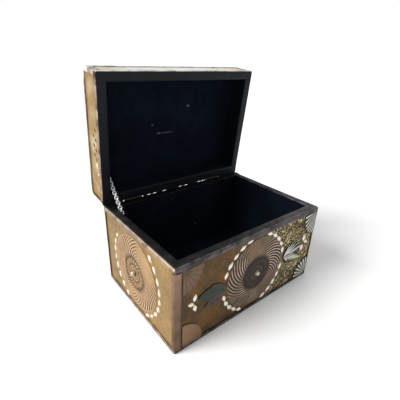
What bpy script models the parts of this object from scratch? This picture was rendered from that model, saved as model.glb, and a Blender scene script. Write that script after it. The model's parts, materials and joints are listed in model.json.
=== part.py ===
"""Wooden trinket box clad in embossed brass, copper and white metal, with a hinged lid and a stay chain.

Metres, +Z up. The origin is the middle of the underside, X runs along the box and the front faces -Y.
The lid is modelled shut, and an empty on the hinge axis turns it to where the chain holds it open.
"""

from math import ceil, cos, pi, radians, sin

import bmesh
import bpy
from mathutils import Matrix, Vector

# Overall sizes, measured over the trims
BOX_LENGTH = 0.200
BOX_DEPTH = 0.136
BODY_HEIGHT = 0.0945
LID_HEIGHT = 0.033
OPEN_ANGLE = radians(84.0)

# Fits
GAP = 0.0003
LID_CLEARANCE = 0.0006
PIN_CLEARANCE = 0.0001

# Thicknesses
SHEET = 0.0006
TRIM = 0.0009
WOOD_WALL = 0.0066
WOOD_FLOOR = 0.0070
WOOD_LID_TOP = 0.0060
LINING = 0.0008

# Strips along the edges
CORNER_WIDE_LEG = 0.0085
CORNER_FRONT_LEFT_SIDE_LEG = 0.0040
CORNER_NARROW_LEG = 0.0025
CORNER_RADIUS = 0.0016
CORNER_BULGE = 0.0006
RIM_FLANGE = 0.0050
RIM_RADIUS = 0.0024
LID_RIM_RADIUS = 0.0010
BASE_STRIP = 0.0030
BASE_LIFT = 0.0005
EDGE_FLANGE = 0.0050
EDGE_RADIUS = 0.0040
ARC_STEPS = 3

# Medallions
WHIRL_MARGIN = 0.0025
ROSETTE_RADIUS = 0.0175
HUB_RADIUS = 0.0094
SHOWN_FLUTES = 44
HIDDEN_FLUTES = 36
BACK_FLUTES = 24
WHIRL_TWIST = radians(47.0)
FLUTE_DEPTH = 0.0006
MEDALLION_EDGE = 0.0006
MEDALLION_CROWN = 0.0017
ROSETTE_HEIGHT = 0.0012
HUB_HEIGHT = 0.0010
KNOB_RADIUS = 0.0030
KNOB_HEIGHT = 0.0040
KNOB_SIDES = 12
KNOB_RINGS = 3

# How far the medallions are set off the middle of their faces
LONG_CENTRE_SHIFT = 0.0012
SHORT_CENTRE_SHIFT = -0.0020
SHORT_CENTRE_RISE = 0.0010

# Pointed ovals
OVAL_LENGTH = 0.0085
OVAL_WIDTH = 0.0047
OVAL_HEIGHT = 0.0010
OVAL_SINK = 0.0003
LONG_RING_OFFSET = 0.0025
LONG_RING_ANGLES = [radians(a) for a in (15.0, 28.3, 41.6, 54.9, 68.2)]
SHORT_RING_OFFSET = 0.0045
SHORT_RING_COUNT = 26
SHORT_RING_BARE_TOP = radians(50.0)
SPRIG_CLEARANCE = 0.0044
SPRIG_RISE = 0.0015
SPRIG_RIGHT_REACH = 0.0042
SPRIG_RIGHT_RISE = 0.0037

# Leaves beside the front and lid medallions
LEAF_OFFSET = 0.0020
LEAF_LENGTH = 0.0290
LEAF_SPREAD = radians(42.0)
LEAF_RIBS = 6
LEAF_LOBES = 3
LEAF_LOBE_CUT = 0.16
LEAF_EDGE = 0.0005
LEAF_CROWN = 0.0010

# Ribbed quarter fans in the front's corners
FAN_RADIUS = 0.0230
FAN_RIBS = 7
FAN_EDGE = 0.0004
FAN_CROWN = 0.0009

# Punched slots on the lid's left side
SLOT_LENGTH = 0.0050
SLOT_WIDTH = 0.0020
SLOT_PITCH = 0.0110
SLOT_TILT = radians(35.0)
SLOT_ROW_LOW = 0.0130
SLOT_ROW_HIGH = 0.0185
SLOTS_LOW = 4
SLOTS_HIGH = 3
SLOT_FIRST = 0.0485

# Hinges
HINGE_WIDTH = 0.0220
HINGE_LEFT_INSET = 0.0360
HINGE_RIGHT_INSET = 0.0460
HINGE_SET_BACK = 0.0010
HINGE_LEAF = 0.0006
HINGE_LEAF_DEPTH = 0.0080
KNUCKLE_RADIUS = 0.0018
PIN_RADIUS = 0.0007
BARREL_SIDES = 12

# Stay chain, from an eye in the box's left wall to one in the lid's
EYE_RADIUS = 0.0018
EYE_WIRE = 0.0005
EYE_SHANK = 0.0006
BOX_EYE_FORWARD = 0.0300
BOX_EYE_DOWN = 0.0160
LID_EYE_FORWARD = 0.0250
LID_EYE_UP = 0.0090
LINK_LENGTH = 0.0046
LINK_WIDTH = 0.0026
LINK_WIRE = 0.00042
LINK_TOUCH = 0.0001
EYE_RUN = 0.00008

# Depths in from the outer plane of the trims
SHEET_FACE = TRIM + GAP
SHEET_BACK = SHEET_FACE + SHEET
WOOD_FACE = SHEET_BACK + GAP
WOOD_INNER = WOOD_FACE + WOOD_WALL
LINING_FACE = WOOD_INNER + GAP
LINING_INNER = LINING_FACE + LINING

# The field between the base strip and the rim's flange, and what is laid out in it
FIELD_LOW = BASE_LIFT + BASE_STRIP
FIELD_HIGH = BODY_HEIGHT - RIM_FLANGE
FIELD_MIDDLE = (FIELD_LOW + FIELD_HIGH) / 2
WHIRL_RADIUS = (FIELD_HIGH - FIELD_LOW) / 2 - WHIRL_MARGIN
LONG_RING_RADIUS = WHIRL_RADIUS + LONG_RING_OFFSET
SHORT_RING_RADIUS = WHIRL_RADIUS + SHORT_RING_OFFSET
LEAF_START = LONG_RING_RADIUS + LEAF_OFFSET
SPRIG_REACH = LEAF_START + LEAF_LENGTH + SPRIG_CLEARANCE
HINGE_PLACES = {"left": HINGE_LEFT_INSET - BOX_LENGTH / 2, "right": BOX_LENGTH / 2 - HINGE_RIGHT_INSET}

# Each corner strip's reach over the long face and over the short face
CORNER_LEGS = {
    ("front", "left"): (CORNER_WIDE_LEG, CORNER_FRONT_LEFT_SIDE_LEG),
    ("front", "right"): (CORNER_NARROW_LEG, CORNER_WIDE_LEG),
    ("back", "left"): (CORNER_WIDE_LEG, CORNER_NARROW_LEG),
    ("back", "right"): (CORNER_WIDE_LEG, CORNER_NARROW_LEG),
}

# Heights with the lid shut
LID_RIM = BODY_HEIGHT + LID_CLEARANCE
LID_TOP = LID_RIM + LID_HEIGHT
AXIS = Vector((0.0, BOX_DEPTH / 2 + HINGE_SET_BACK, BODY_HEIGHT + LID_CLEARANCE / 2))

# Finishes: colour, roughness, metallic
BRASS = ("brass", (0.42, 0.31, 0.13, 1.0), 0.45, 1.0)
COPPER = ("copper", (0.38, 0.24, 0.17, 1.0), 0.42, 1.0)
WHITE_METAL = ("white metal", (0.62, 0.60, 0.55, 1.0), 0.35, 1.0)
DARK_RIM = ("darkened copper", (0.12, 0.10, 0.10, 1.0), 0.5, 1.0)
WOOD = ("wood", (0.10, 0.06, 0.035, 1.0), 0.8, 0.0)
FELT = ("black lining", (0.006, 0.008, 0.014, 1.0), 0.95, 0.0)
STEEL = ("nickel wire", (0.62, 0.62, 0.62, 1.0), 0.3, 1.0)


class Face:
    """A side of the box: a point on its trims' outer plane, and its right, up and outward directions."""

    def __init__(self, origin, right, up):
        self.origin = Vector(origin)
        self.right = Vector(right)
        self.up = Vector(up)
        self.out = self.right.cross(self.up)

    def at(self, across, above, outward):
        """The point at these distances on the face."""
        return self.origin + self.right * across + self.up * above + self.out * outward


FRONT = Face((0.0, -BOX_DEPTH / 2, 0.0), (1, 0, 0), (0, 0, 1))
BACK = Face((0.0, BOX_DEPTH / 2, 0.0), (-1, 0, 0), (0, 0, 1))
LEFT = Face((-BOX_LENGTH / 2, 0.0, 0.0), (0, -1, 0), (0, 0, 1))
RIGHT = Face((BOX_LENGTH / 2, 0.0, 0.0), (0, 1, 0), (0, 0, 1))
TOP = Face((0.0, 0.0, LID_TOP), (1, 0, 0), (0, 1, 0))
SIDES = {"front": FRONT, "back": BACK, "left": LEFT, "right": RIGHT}


def clear_scene():
    """Remove what the scene holds, so that the script can be run again."""
    for thing in list(bpy.data.objects):
        bpy.data.objects.remove(thing, do_unlink=True)


def finish_material(finish):
    """The Principled material of a finish, made once."""
    name, colour, roughness, metallic = finish
    found = bpy.data.materials.get(name)
    if found:
        return found
    made = bpy.data.materials.new(name)
    made.use_nodes = True
    shader = made.node_tree.nodes["Principled BSDF"]
    shader.inputs["Base Color"].default_value = colour
    shader.inputs["Roughness"].default_value = roughness
    shader.inputs["Metallic"].default_value = metallic
    return made


def add_object(name, mesh_data, finish, lid_axis=None):
    """Put a bmesh in the scene as an object; with lid_axis, hung on the lid's empty."""
    bmesh.ops.remove_doubles(mesh_data, verts=mesh_data.verts, dist=1e-7)
    bmesh.ops.recalc_face_normals(mesh_data, faces=mesh_data.faces)
    mesh = bpy.data.meshes.new(name)
    mesh_data.to_mesh(mesh)
    mesh_data.free()
    mesh.materials.append(finish_material(finish))
    made = bpy.data.objects.new(name, mesh)
    bpy.context.scene.collection.objects.link(made)
    if lid_axis:
        made.parent = lid_axis
        made.location = -AXIS
    return made


def add_boolean(target, tool, operation):
    """Cut or join target with tool, which stays in the scene as a wire guide."""
    tool.hide_render = True
    tool.display_type = "WIRE"
    step = target.modifiers.new(operation.lower(), "BOOLEAN")
    step.operation = operation
    step.solver = "EXACT"
    step.object = tool


def smooth(made, angle):
    """Shade a round piece smooth up to an angle."""
    made.data.shade_smooth()
    made.data.set_sharp_from_angle(angle=angle)


def add_loops(mesh_data, loops, close_ends):
    """Bridge closed loops of points in order; close_ends caps the first and the last."""
    rows = [[mesh_data.verts.new(p) for p in loop] for loop in loops]
    count = len(rows[0])
    for row, following in zip(rows, rows[1:]):
        for i in range(count):
            j = (i + 1) % count
            mesh_data.faces.new((row[i], row[j], following[j], following[i]))
    if close_ends:
        mesh_data.faces.new(rows[0])
        mesh_data.faces.new(rows[-1])


def block(mesh_data, low, high):
    """A box between two corners."""
    corners = [(low[0], low[1]), (high[0], low[1]), (high[0], high[1]), (low[0], high[1])]
    add_loops(mesh_data, [[(x, y, z) for x, y in corners] for z in (low[2], high[2])], True)


def rectangle(inset, height):
    """The corners of the box's plan, inset by a distance, at a height."""
    x = BOX_LENGTH / 2 - inset
    y = BOX_DEPTH / 2 - inset
    return [(-x, -y, height), (x, -y, height), (x, y, height), (-x, y, height)]


def open_box(outer, inner, closed_height, floor_height, open_height):
    """A box open at one end: its outer and inner insets, and its closed, floor and open heights."""
    mesh_data = bmesh.new()
    loops = [
        rectangle(outer, closed_height),
        rectangle(outer, open_height),
        rectangle(inner, open_height),
        rectangle(inner, floor_height),
    ]
    add_loops(mesh_data, loops, True)
    return mesh_data


def ring(profile):
    """A strip round the box, mitred at its corners, from a closed profile of insets and heights."""
    mesh_data = bmesh.new()
    loops = [rectangle(inset, height) for inset, height in profile]
    add_loops(mesh_data, loops + [loops[0]], False)
    return mesh_data


def angle_profile(edge, inward, plate, flange, radius):
    """An angle strip's profile: a flange on the side and a plate that ends at a depth, round outside.

    edge is the height of the outer plane of the plate, and inward is the direction in height to the flange.
    """
    turns = [i / ARC_STEPS * pi / 2 for i in range(ARC_STEPS + 1)]
    outer = [(radius - radius * cos(t), edge + inward * (radius - radius * sin(t))) for t in turns]
    thin = radius - TRIM
    inner = [(radius - thin * cos(t), edge + inward * (radius - thin * sin(t))) for t in reversed(turns)]
    start = [(0.0, edge + inward * flange)]
    far = [(plate, edge), (plate, edge + inward * TRIM)]
    finish = [(TRIM, edge + inward * flange)]
    return start + outer + far + inner + finish


def panel(face, half_width, low, high):
    """A flat sheet on a face, from one height to another."""
    mesh_data = bmesh.new()
    loops = []
    for depth in (-SHEET_BACK, -SHEET_FACE):
        corners = [(-half_width, low), (half_width, low), (half_width, high), (-half_width, high)]
        loops.append([face.at(a, b, depth) for a, b in corners])
    add_loops(mesh_data, loops, True)
    return mesh_data


def oval(mesh_data, face, across, above, turn):
    """A pointed oval with a ridge, its root sunk in the sheet, long along the direction turn."""
    along = Vector((cos(turn), sin(turn)))
    side = Vector((-sin(turn), cos(turn)))
    middle = Vector((across, above))

    def place(a, b, outward):
        spot = middle + along * a + side * b
        return mesh_data.verts.new(face.at(spot.x, spot.y, outward - SHEET_FACE))

    long_half = OVAL_LENGTH / 2
    wide_half = OVAL_WIDTH / 2
    shoulder = long_half * 0.45
    outline = [
        (long_half, 0.0),
        (shoulder, wide_half),
        (-shoulder, wide_half),
        (-long_half, 0.0),
        (-shoulder, -wide_half),
        (shoulder, -wide_half),
    ]
    base = [place(a, b, -OVAL_SINK) for a, b in outline]
    front_peak = place(shoulder, 0.0, OVAL_HEIGHT)
    back_peak = place(-shoulder, 0.0, OVAL_HEIGHT)
    mesh_data.faces.new(base)
    mesh_data.faces.new((base[0], base[1], front_peak))
    mesh_data.faces.new((base[1], base[2], back_peak, front_peak))
    mesh_data.faces.new((base[2], base[3], back_peak))
    mesh_data.faces.new((base[3], base[4], back_peak))
    mesh_data.faces.new((base[4], base[5], front_peak, back_peak))
    mesh_data.faces.new((base[5], base[0], front_peak))


def long_ring(mesh_data, face, across, above):
    """Four groups of ovals round a medallion on a long face or the lid's top, open at the sides."""
    for angle in LONG_RING_ANGLES:
        for turned in (angle, pi - angle, pi + angle, -angle):
            a = across + LONG_RING_RADIUS * cos(turned)
            b = above + LONG_RING_RADIUS * sin(turned)
            oval(mesh_data, face, a, b, turned + pi / 2)


def short_ring(mesh_data, face, across, above):
    """Ovals all round a short face's medallion, but for its top, where the rim's strip covers the sheet."""
    for i in range(SHORT_RING_COUNT):
        turned = 2 * pi * (i + 0.5) / SHORT_RING_COUNT
        if abs(turned - pi / 2) < SHORT_RING_BARE_TOP:
            continue
        b = above + SHORT_RING_RADIUS * sin(turned)
        if b - OVAL_WIDTH / 2 > FIELD_LOW:
            oval(mesh_data, face, across + SHORT_RING_RADIUS * cos(turned), b, turned + pi / 2)


def sprig(mesh_data, face, across, above, side):
    """Three ovals like a bud between a leaf and the corner; side is -1 for left and 1 for right."""
    reach = SPRIG_REACH + (SPRIG_RIGHT_REACH if side > 0 else 0.0)
    rise = SPRIG_RIGHT_RISE if side > 0 else 0.0
    middle = above + SPRIG_RISE + rise
    for step, out, turn in ((0.75, 0.0, 100.0), (0.0, 1.0, 25.0), (-0.75, 0.0, 75.0)):
        a = across + side * (reach + out * OVAL_WIDTH)
        oval(mesh_data, face, a, middle + step * OVAL_LENGTH, side * radians(turn))


def medallion(face, across, above, flutes):
    """A copper disc of curved flutes round a small rosette, laid on the sheet."""
    mesh_data = bmesh.new()
    count = 2 * flutes
    base = GAP - SHEET_FACE
    middle_radius = (WHIRL_RADIUS + ROSETTE_RADIUS) / 2
    rows = [
        (WHIRL_RADIUS, 0.0, 0.0, 0.0),
        (WHIRL_RADIUS, MEDALLION_EDGE, 1.0, FLUTE_DEPTH / 2),
        (middle_radius, MEDALLION_CROWN, 0.60, FLUTE_DEPTH),
        (ROSETTE_RADIUS, ROSETTE_HEIGHT, 0.0, FLUTE_DEPTH / 2),
        (HUB_RADIUS, HUB_HEIGHT, 0.0, 0.0),
    ]
    loops = []
    for radius, height, twist, depth in rows:
        loop = []
        for i in range(count):
            turned = 2 * pi * i / count - (WHIRL_TWIST * twist if height > 0 else WHIRL_TWIST)
            cut = depth if i % 2 else 0.0
            a = across + radius * cos(turned)
            b = above + radius * sin(turned)
            loop.append(face.at(a, b, base + height - cut))
        loops.append(loop)
    add_loops(mesh_data, loops, True)
    return mesh_data


def knob(face, across, above):
    """The domed nail through a medallion's middle."""
    mesh_data = bmesh.new()
    start = GAP - SHEET_FACE + HUB_HEIGHT + GAP
    loops = []
    for i in range(KNOB_RINGS + 1):
        lift = i / (KNOB_RINGS + 0.6) * pi / 2
        radius = KNOB_RADIUS * cos(lift)
        loop = []
        for k in range(KNOB_SIDES):
            turned = 2 * pi * k / KNOB_SIDES
            a = across + radius * cos(turned)
            b = above + radius * sin(turned)
            loop.append(face.at(a, b, start + KNOB_HEIGHT * sin(lift)))
        loops.append(loop)
    add_loops(mesh_data, loops, True)
    return mesh_data


def ribbed_fan(face, across, above, start, end, ribs, radius_at, edge, crown):
    """A fan of ribs round a point, between two directions, with its radius a function of 0 to 1 across."""
    mesh_data = bmesh.new()
    base = GAP - SHEET_FACE
    count = 2 * ribs
    below = []
    above_edge = []
    ridge = []
    for i in range(count + 1):
        share = i / count
        turned = start + (end - start) * share
        radius = radius_at(share)
        direction = (cos(turned), sin(turned))
        below.append((across + radius * direction[0], above + radius * direction[1]))
        raised = crown if i % 2 else edge
        above_edge.append((*below[-1], edge))
        inner = radius * 0.55
        ridge.append((across + inner * direction[0], above + inner * direction[1], raised))
    low = [mesh_data.verts.new(face.at(a, b, base)) for a, b in below]
    rim = [mesh_data.verts.new(face.at(a, b, base + h)) for a, b, h in above_edge]
    mid = [mesh_data.verts.new(face.at(a, b, base + h)) for a, b, h in ridge]
    root_low = mesh_data.verts.new(face.at(across, above, base))
    root_high = mesh_data.verts.new(face.at(across, above, base + edge))
    for i in range(count):
        mesh_data.faces.new((low[i], low[i + 1], rim[i + 1], rim[i]))
        mesh_data.faces.new((rim[i], rim[i + 1], mid[i + 1]))
        mesh_data.faces.new((rim[i], mid[i + 1], mid[i]))
        mesh_data.faces.new((mid[i], mid[i + 1], root_high))
        mesh_data.faces.new((low[i], low[i + 1], root_low))
    for i in (0, count):
        mesh_data.faces.new((root_low, root_high, mid[i]))
        mesh_data.faces.new((root_low, mid[i], rim[i]))
        mesh_data.faces.new((root_low, rim[i], low[i]))
    return mesh_data


def leaf(face, across, above, side):
    """A lobed leaf that springs from the side of a medallion; side is -1 for left and 1 for right."""

    def radius_at(share):
        swell = cos((share - 0.5) * 2 * LEAF_SPREAD * 0.5)
        notch = LEAF_LOBE_CUT * (0.5 - 0.5 * cos(2 * pi * LEAF_LOBES * share))
        return LEAF_LENGTH * (swell - LEAF_LOBE_CUT + notch)

    facing = 0.0 if side > 0 else pi
    spring = across + side * LEAF_START
    limits = (facing - LEAF_SPREAD, facing + LEAF_SPREAD)
    return ribbed_fan(face, spring, above, *limits, LEAF_RIBS, radius_at, LEAF_EDGE, LEAF_CROWN)


def corner_fan(face, side, top):
    """A ribbed quarter fan in a corner of the front, inside its strips; top is 1 above and 0 below."""
    leg = CORNER_LEGS["front", "right" if side > 0 else "left"][0]
    across = side * (BOX_LENGTH / 2 - leg - GAP)
    above = FIELD_HIGH - GAP if top else FIELD_LOW + GAP
    middle = {(1, 1): 225, (-1, 1): 315, (1, 0): 135, (-1, 0): 45}[side, top]
    limits = (radians(middle - 45), radians(middle + 45))
    return ribbed_fan(face, across, above, *limits, FAN_RIBS, lambda share: FAN_RADIUS, FAN_EDGE, FAN_CROWN)


def leg_points(leg):
    """A corner strip's outer face along one leg, as distances along and out; a wide leg has a round back."""
    run = leg - CORNER_RADIUS
    bulge = CORNER_BULGE if leg == CORNER_WIDE_LEG else 0.0
    steps = ARC_STEPS + 1
    return [(CORNER_RADIUS + run * i / steps, -bulge * sin(pi * i / steps)) for i in range(1, steps + 1)]


def corner_strip(x_side, y_side, legs, low, high):
    """An angle strip over a vertical edge, with its legs' reach over the long face and the short face."""
    long_leg, short_leg = legs
    turns = [i / ARC_STEPS * pi / 2 for i in range(ARC_STEPS + 1)]
    profile = [(out, along) for along, out in reversed(leg_points(short_leg))]
    profile += [(CORNER_RADIUS * (1 - cos(t)), CORNER_RADIUS * (1 - sin(t))) for t in turns]
    profile += leg_points(long_leg)
    profile += [(long_leg, TRIM), (TRIM, TRIM), (TRIM, short_leg)]
    mesh_data = bmesh.new()
    loops = []
    for height in (low, high):
        loop = []
        for x_in, y_in in profile:
            x = x_side * (BOX_LENGTH / 2 - x_in)
            y = y_side * (BOX_DEPTH / 2 - y_in)
            loop.append((x, y, height))
        loops.append(loop)
    add_loops(mesh_data, loops, True)
    return mesh_data


def add_corner_strips(prefix, low, high, lid_axis=None):
    """The four corner strips of the body or the lid."""
    for (y_word, x_word), legs in CORNER_LEGS.items():
        x_side = 1 if x_word == "right" else -1
        y_side = 1 if y_word == "back" else -1
        strip = corner_strip(x_side, y_side, legs, low, high)
        add_object(f"{prefix}_corner_strip_{y_word}_{x_word}", strip, COPPER, lid_axis)


def slot_cutters(mesh_data, face):
    """Prisms that punch two staggered rows of slanted slots through a lid side."""
    rows = ((SLOT_ROW_LOW, SLOTS_LOW, 0.0), (SLOT_ROW_HIGH, SLOTS_HIGH, SLOT_PITCH / 2))
    for height, count, shift in rows:
        for i in range(count):
            from_hinge = SLOT_FIRST + shift + i * SLOT_PITCH
            across = from_hinge - BOX_DEPTH / 2
            turn = Matrix.Rotation(SLOT_TILT, 2)
            loops = []
            for depth in (-SHEET_BACK - GAP, -SHEET_FACE + GAP):
                loop = []
                for a, b in ((-0.5, 0.0), (-0.2, -0.5), (0.2, -0.5), (0.5, 0.0), (0.2, 0.5), (-0.2, 0.5)):
                    spot = turn @ Vector((a * SLOT_LENGTH, b * SLOT_WIDTH))
                    loop.append(face.at(across + spot.x, LID_RIM + height + spot.y, depth))
                loops.append(loop)
            add_loops(mesh_data, loops, True)


def barrel(mesh_data, start, end, radius, bore):
    """A length of tube or, with no bore, of rod along the hinge axis, in the axis's own place."""
    turns = [2 * pi * i / BARREL_SIDES for i in range(BARREL_SIDES)]

    def circle(x, r):
        return [(x, AXIS.y + r * cos(t), AXIS.z + r * sin(t)) for t in turns]

    loops = [circle(start, radius), circle(end, radius)]
    if bore:
        loops = [circle(start, bore)] + loops + [circle(end, bore)]
        add_loops(mesh_data, loops + [loops[0]], False)
    else:
        add_loops(mesh_data, loops, True)


def hinge_leaf(name, middle, up_side, knuckles, lid_axis):
    """A hinge's plate with its knuckles; up_side is 1 for the lid's plate and -1 for the box's."""
    rim = LID_RIM if up_side > 0 else BODY_HEIGHT
    near = rim + up_side * (TRIM - HINGE_LEAF) / 2
    far = near + up_side * HINGE_LEAF
    back = AXIS.y - PIN_RADIUS - PIN_CLEARANCE - GAP
    plate = bmesh.new()
    low = (middle - HINGE_WIDTH / 2, BOX_DEPTH / 2 - HINGE_LEAF_DEPTH, min(near, far))
    block(plate, low, (middle + HINGE_WIDTH / 2, back, max(near, far)))
    made = add_object(name, plate, BRASS, lid_axis)
    for i, (start, end) in enumerate(knuckles):
        tube = bmesh.new()
        barrel(tube, middle + start, middle + end, KNUCKLE_RADIUS, PIN_RADIUS + PIN_CLEARANCE)
        guide = add_object(f"{name}_knuckle_{i}", tube, BRASS, lid_axis)
        add_boolean(made, guide, "UNION")
    empty_spans = spaces_between(knuckles)
    for i, (start, end) in enumerate(empty_spans):
        room = bmesh.new()
        reach = KNUCKLE_RADIUS + GAP
        block(
            room,
            (middle + start, AXIS.y - reach, AXIS.z - reach),
            (middle + end, AXIS.y + reach, AXIS.z + reach),
        )
        guide = add_object(f"{name}_space_{i}", room, BRASS, lid_axis)
        add_boolean(made, guide, "DIFFERENCE")
    return made


def spaces_between(knuckles):
    """Where along a hinge the other plate's knuckles turn, a little past each end."""
    half = HINGE_WIDTH / 2
    edges = [-half - GAP] + [v for pair in knuckles for v in pair] + [half + GAP]
    spans = list(zip(edges[0::2], edges[1::2]))
    return [(start, end) for start, end in spans if end - start > 2 * GAP]


def hinge_notch(name, middle, up_side, lid_axis):
    """The guide that cuts a rim's strip away for a hinge: its plate's seat and its barrel's space."""
    rim = LID_RIM if up_side > 0 else BODY_HEIGHT
    front = BOX_DEPTH / 2 - HINGE_LEAF_DEPTH - GAP
    step = BOX_DEPTH / 2 - SHEET_FACE
    behind = BOX_DEPTH / 2 + GAP
    outside = rim - up_side * GAP
    plate_deep = rim + up_side * (TRIM + GAP / 2)
    barrel_deep = AXIS.z + up_side * (KNUCKLE_RADIUS + GAP)
    outline = [
        (front, outside),
        (behind, outside),
        (behind, barrel_deep),
        (step, barrel_deep),
        (step, plate_deep),
        (front, plate_deep),
    ]
    mesh_data = bmesh.new()
    half = HINGE_WIDTH / 2 + GAP
    loops = [[(x, y, z) for y, z in outline] for x in (middle - half, middle + half)]
    add_loops(mesh_data, loops, True)
    return add_object(name, mesh_data, BRASS, lid_axis)


def wire_loop(mesh_data, points, normal, radius):
    """A closed loop of square wire, its corners in and out of the loop's plane."""
    middle = sum(points, Vector()) / len(points)
    count = len(points)
    rows = []
    for i, point in enumerate(points):
        along = (points[(i + 1) % count] - points[i - 1]).normalized()
        outward = along.cross(normal)
        if outward.dot(point - middle) < 0:
            outward = -outward
        rows.append([point + step * radius for step in (outward, normal, -outward, -normal)])
    add_loops(mesh_data, rows + [rows[0]], False)


def turned_open(point):
    """Where the open lid carries a point that is given with the lid shut."""
    return AXIS + Matrix.Rotation(-OPEN_ANGLE, 3, "X") @ (point - AXIS)


def eye_centre(forward, height):
    """The middle of an eye on the left inner wall, with the lid shut."""
    wall = -BOX_LENGTH / 2 + LINING_INNER
    return Vector((wall + GAP + EYE_SHANK + EYE_RADIUS, BOX_DEPTH / 2 - forward, height))


def chain_eye(name, centre, pull, lid_axis):
    """A wire eye that stands on the wall, in the plane of the chain's pull, with its short shank."""
    mesh_data = bmesh.new()
    sideways = Vector((1, 0, 0))
    normal = sideways.cross(pull).normalized()
    turns = [2 * pi * i / 8 for i in range(8)]
    points = [centre + (sideways * cos(t) + pull * sin(t)) * EYE_RADIUS for t in turns]
    wire_loop(mesh_data, points, normal, EYE_WIRE)
    made = add_object(name, mesh_data, STEEL, lid_axis)
    shank = bmesh.new()
    start = centre - sideways * (EYE_SHANK + EYE_RADIUS)
    end = centre - sideways * (EYE_RADIUS - EYE_WIRE / 4)
    half = EYE_WIRE * 1.1
    loops = []
    for point in (start, end):
        loops.append([point + (pull * a + normal * b) * half for a, b in ((-1, -1), (1, -1), (1, 1), (-1, 1))])
    add_loops(shank, loops, True)
    guide = add_object(name + "_shank", shank, STEEL, lid_axis)
    add_boolean(made, guide, "UNION")
    return made


def stay_chain(start, end):
    """Links from one eye to the other, each turned a quarter from the last and touching it."""
    direction = (end - start).normalized()
    hook = EYE_RADIUS - EYE_WIRE - LINK_WIRE - EYE_RUN
    first = start + direction * hook
    length = (end - start).length - 2 * hook
    lap = 2 * LINK_WIRE - LINK_TOUCH
    count = max(3, ceil((length - lap) / (LINK_LENGTH - lap)))
    if count % 2 == 0:
        count += 1
    link = (length + (count - 1) * lap) / count
    sideways = Vector((1, 0, 0))
    crosswise = sideways.cross(direction).normalized()
    chain = None
    for i in range(count):
        middle = first + direction * (link / 2 + i * (link - lap))
        spread = crosswise if i % 2 == 0 else sideways
        normal = sideways if i % 2 == 0 else crosswise
        half = link / 2
        wide = LINK_WIDTH / 2
        outline = [(half, 0.4 * wide), (0.62 * half, wide), (-0.62 * half, wide), (-half, 0.4 * wide)]
        outline += [(a, -b) for a, b in reversed(outline)]
        points = [middle + direction * a + spread * b for a, b in outline]
        mesh_data = bmesh.new()
        wire_loop(mesh_data, points, normal, LINK_WIRE)
        if chain is None:
            chain = add_object("stay_chain", mesh_data, STEEL)
        else:
            guide = add_object(f"stay_chain_link_{i}", mesh_data, STEEL)
            add_boolean(chain, guide, "UNION")
    return chain


def ornament_panel(name, sheet, beads, lid_axis=None):
    """A sheet with its ovals, joined as one piece."""
    made = add_object(name, sheet, BRASS, lid_axis)
    if beads.verts:
        guide = add_object(name + "_ovals", beads, WHITE_METAL, lid_axis)
        add_boolean(made, guide, "UNION")
    return made


def build_carcass_and_lining():
    """The wooden box and its black lining."""
    top = BODY_HEIGHT - TRIM - GAP
    add_object("box_carcass", open_box(WOOD_FACE, WOOD_INNER, 0.0, WOOD_FLOOR, top), WOOD)
    lining_low = WOOD_FLOOR + GAP
    felt = open_box(LINING_FACE, LINING_INNER, lining_low, lining_low + LINING, top)
    add_object("box_lining", felt, FELT)


def build_body_panels():
    """The four embossed sheets of the body, with what is laid on them."""
    low = BASE_LIFT
    high = BODY_HEIGHT - RIM_RADIUS
    long_half = BOX_LENGTH / 2 - SHEET_FACE
    short_half = BOX_DEPTH / 2 - SHEET_BACK - GAP
    for side, face in SIDES.items():
        is_long = side in ("front", "back")
        across = LONG_CENTRE_SHIFT if is_long else SHORT_CENTRE_SHIFT
        above = FIELD_MIDDLE if is_long else FIELD_MIDDLE + SHORT_CENTRE_RISE
        across = across if side in ("front", "left") else -across
        beads = bmesh.new()
        if side == "front":
            long_ring(beads, face, across, above)
            sprig(beads, face, across, above, -1)
            sprig(beads, face, across, above, 1)
        if not is_long:
            short_ring(beads, face, across, above)
        sheet = panel(face, long_half if is_long else short_half, low, high)
        ornament_panel(f"box_{side}_panel", sheet, beads)
        flutes = {"back": BACK_FLUTES, "right": HIDDEN_FLUTES}.get(side, SHOWN_FLUTES)
        add_object(f"box_{side}_medallion", medallion(face, across, above, flutes), COPPER)
        smooth(add_object(f"box_{side}_knob", knob(face, across, above), BRASS), radians(50))
    for side, word in ((-1, "left"), (1, "right")):
        leaf_mesh = leaf(FRONT, LONG_CENTRE_SHIFT, FIELD_MIDDLE, side)
        add_object(f"front_leaf_{word}", leaf_mesh, WHITE_METAL)
        for top, level in ((0, "lower"), (1, "upper")):
            finish = WHITE_METAL if side > 0 else COPPER
            add_object(f"front_fan_{level}_{word}", corner_fan(FRONT, side, top), finish)


def build_body_trims():
    """The strips over the body's edges."""
    add_corner_strips("box", FIELD_LOW + GAP, FIELD_HIGH - GAP)
    base = [(0.0, BASE_LIFT), (0.0, FIELD_LOW), (TRIM, FIELD_LOW), (TRIM, BASE_LIFT)]
    add_object("box_base_trim", ring(base), DARK_RIM)
    profile = angle_profile(BODY_HEIGHT, -1, LINING_INNER, RIM_FLANGE, RIM_RADIUS)
    rim = add_object("box_rim_trim", ring(profile), DARK_RIM)
    for word, middle in HINGE_PLACES.items():
        add_boolean(rim, hinge_notch(f"box_rim_notch_{word}", middle, -1, None), "DIFFERENCE")


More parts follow.
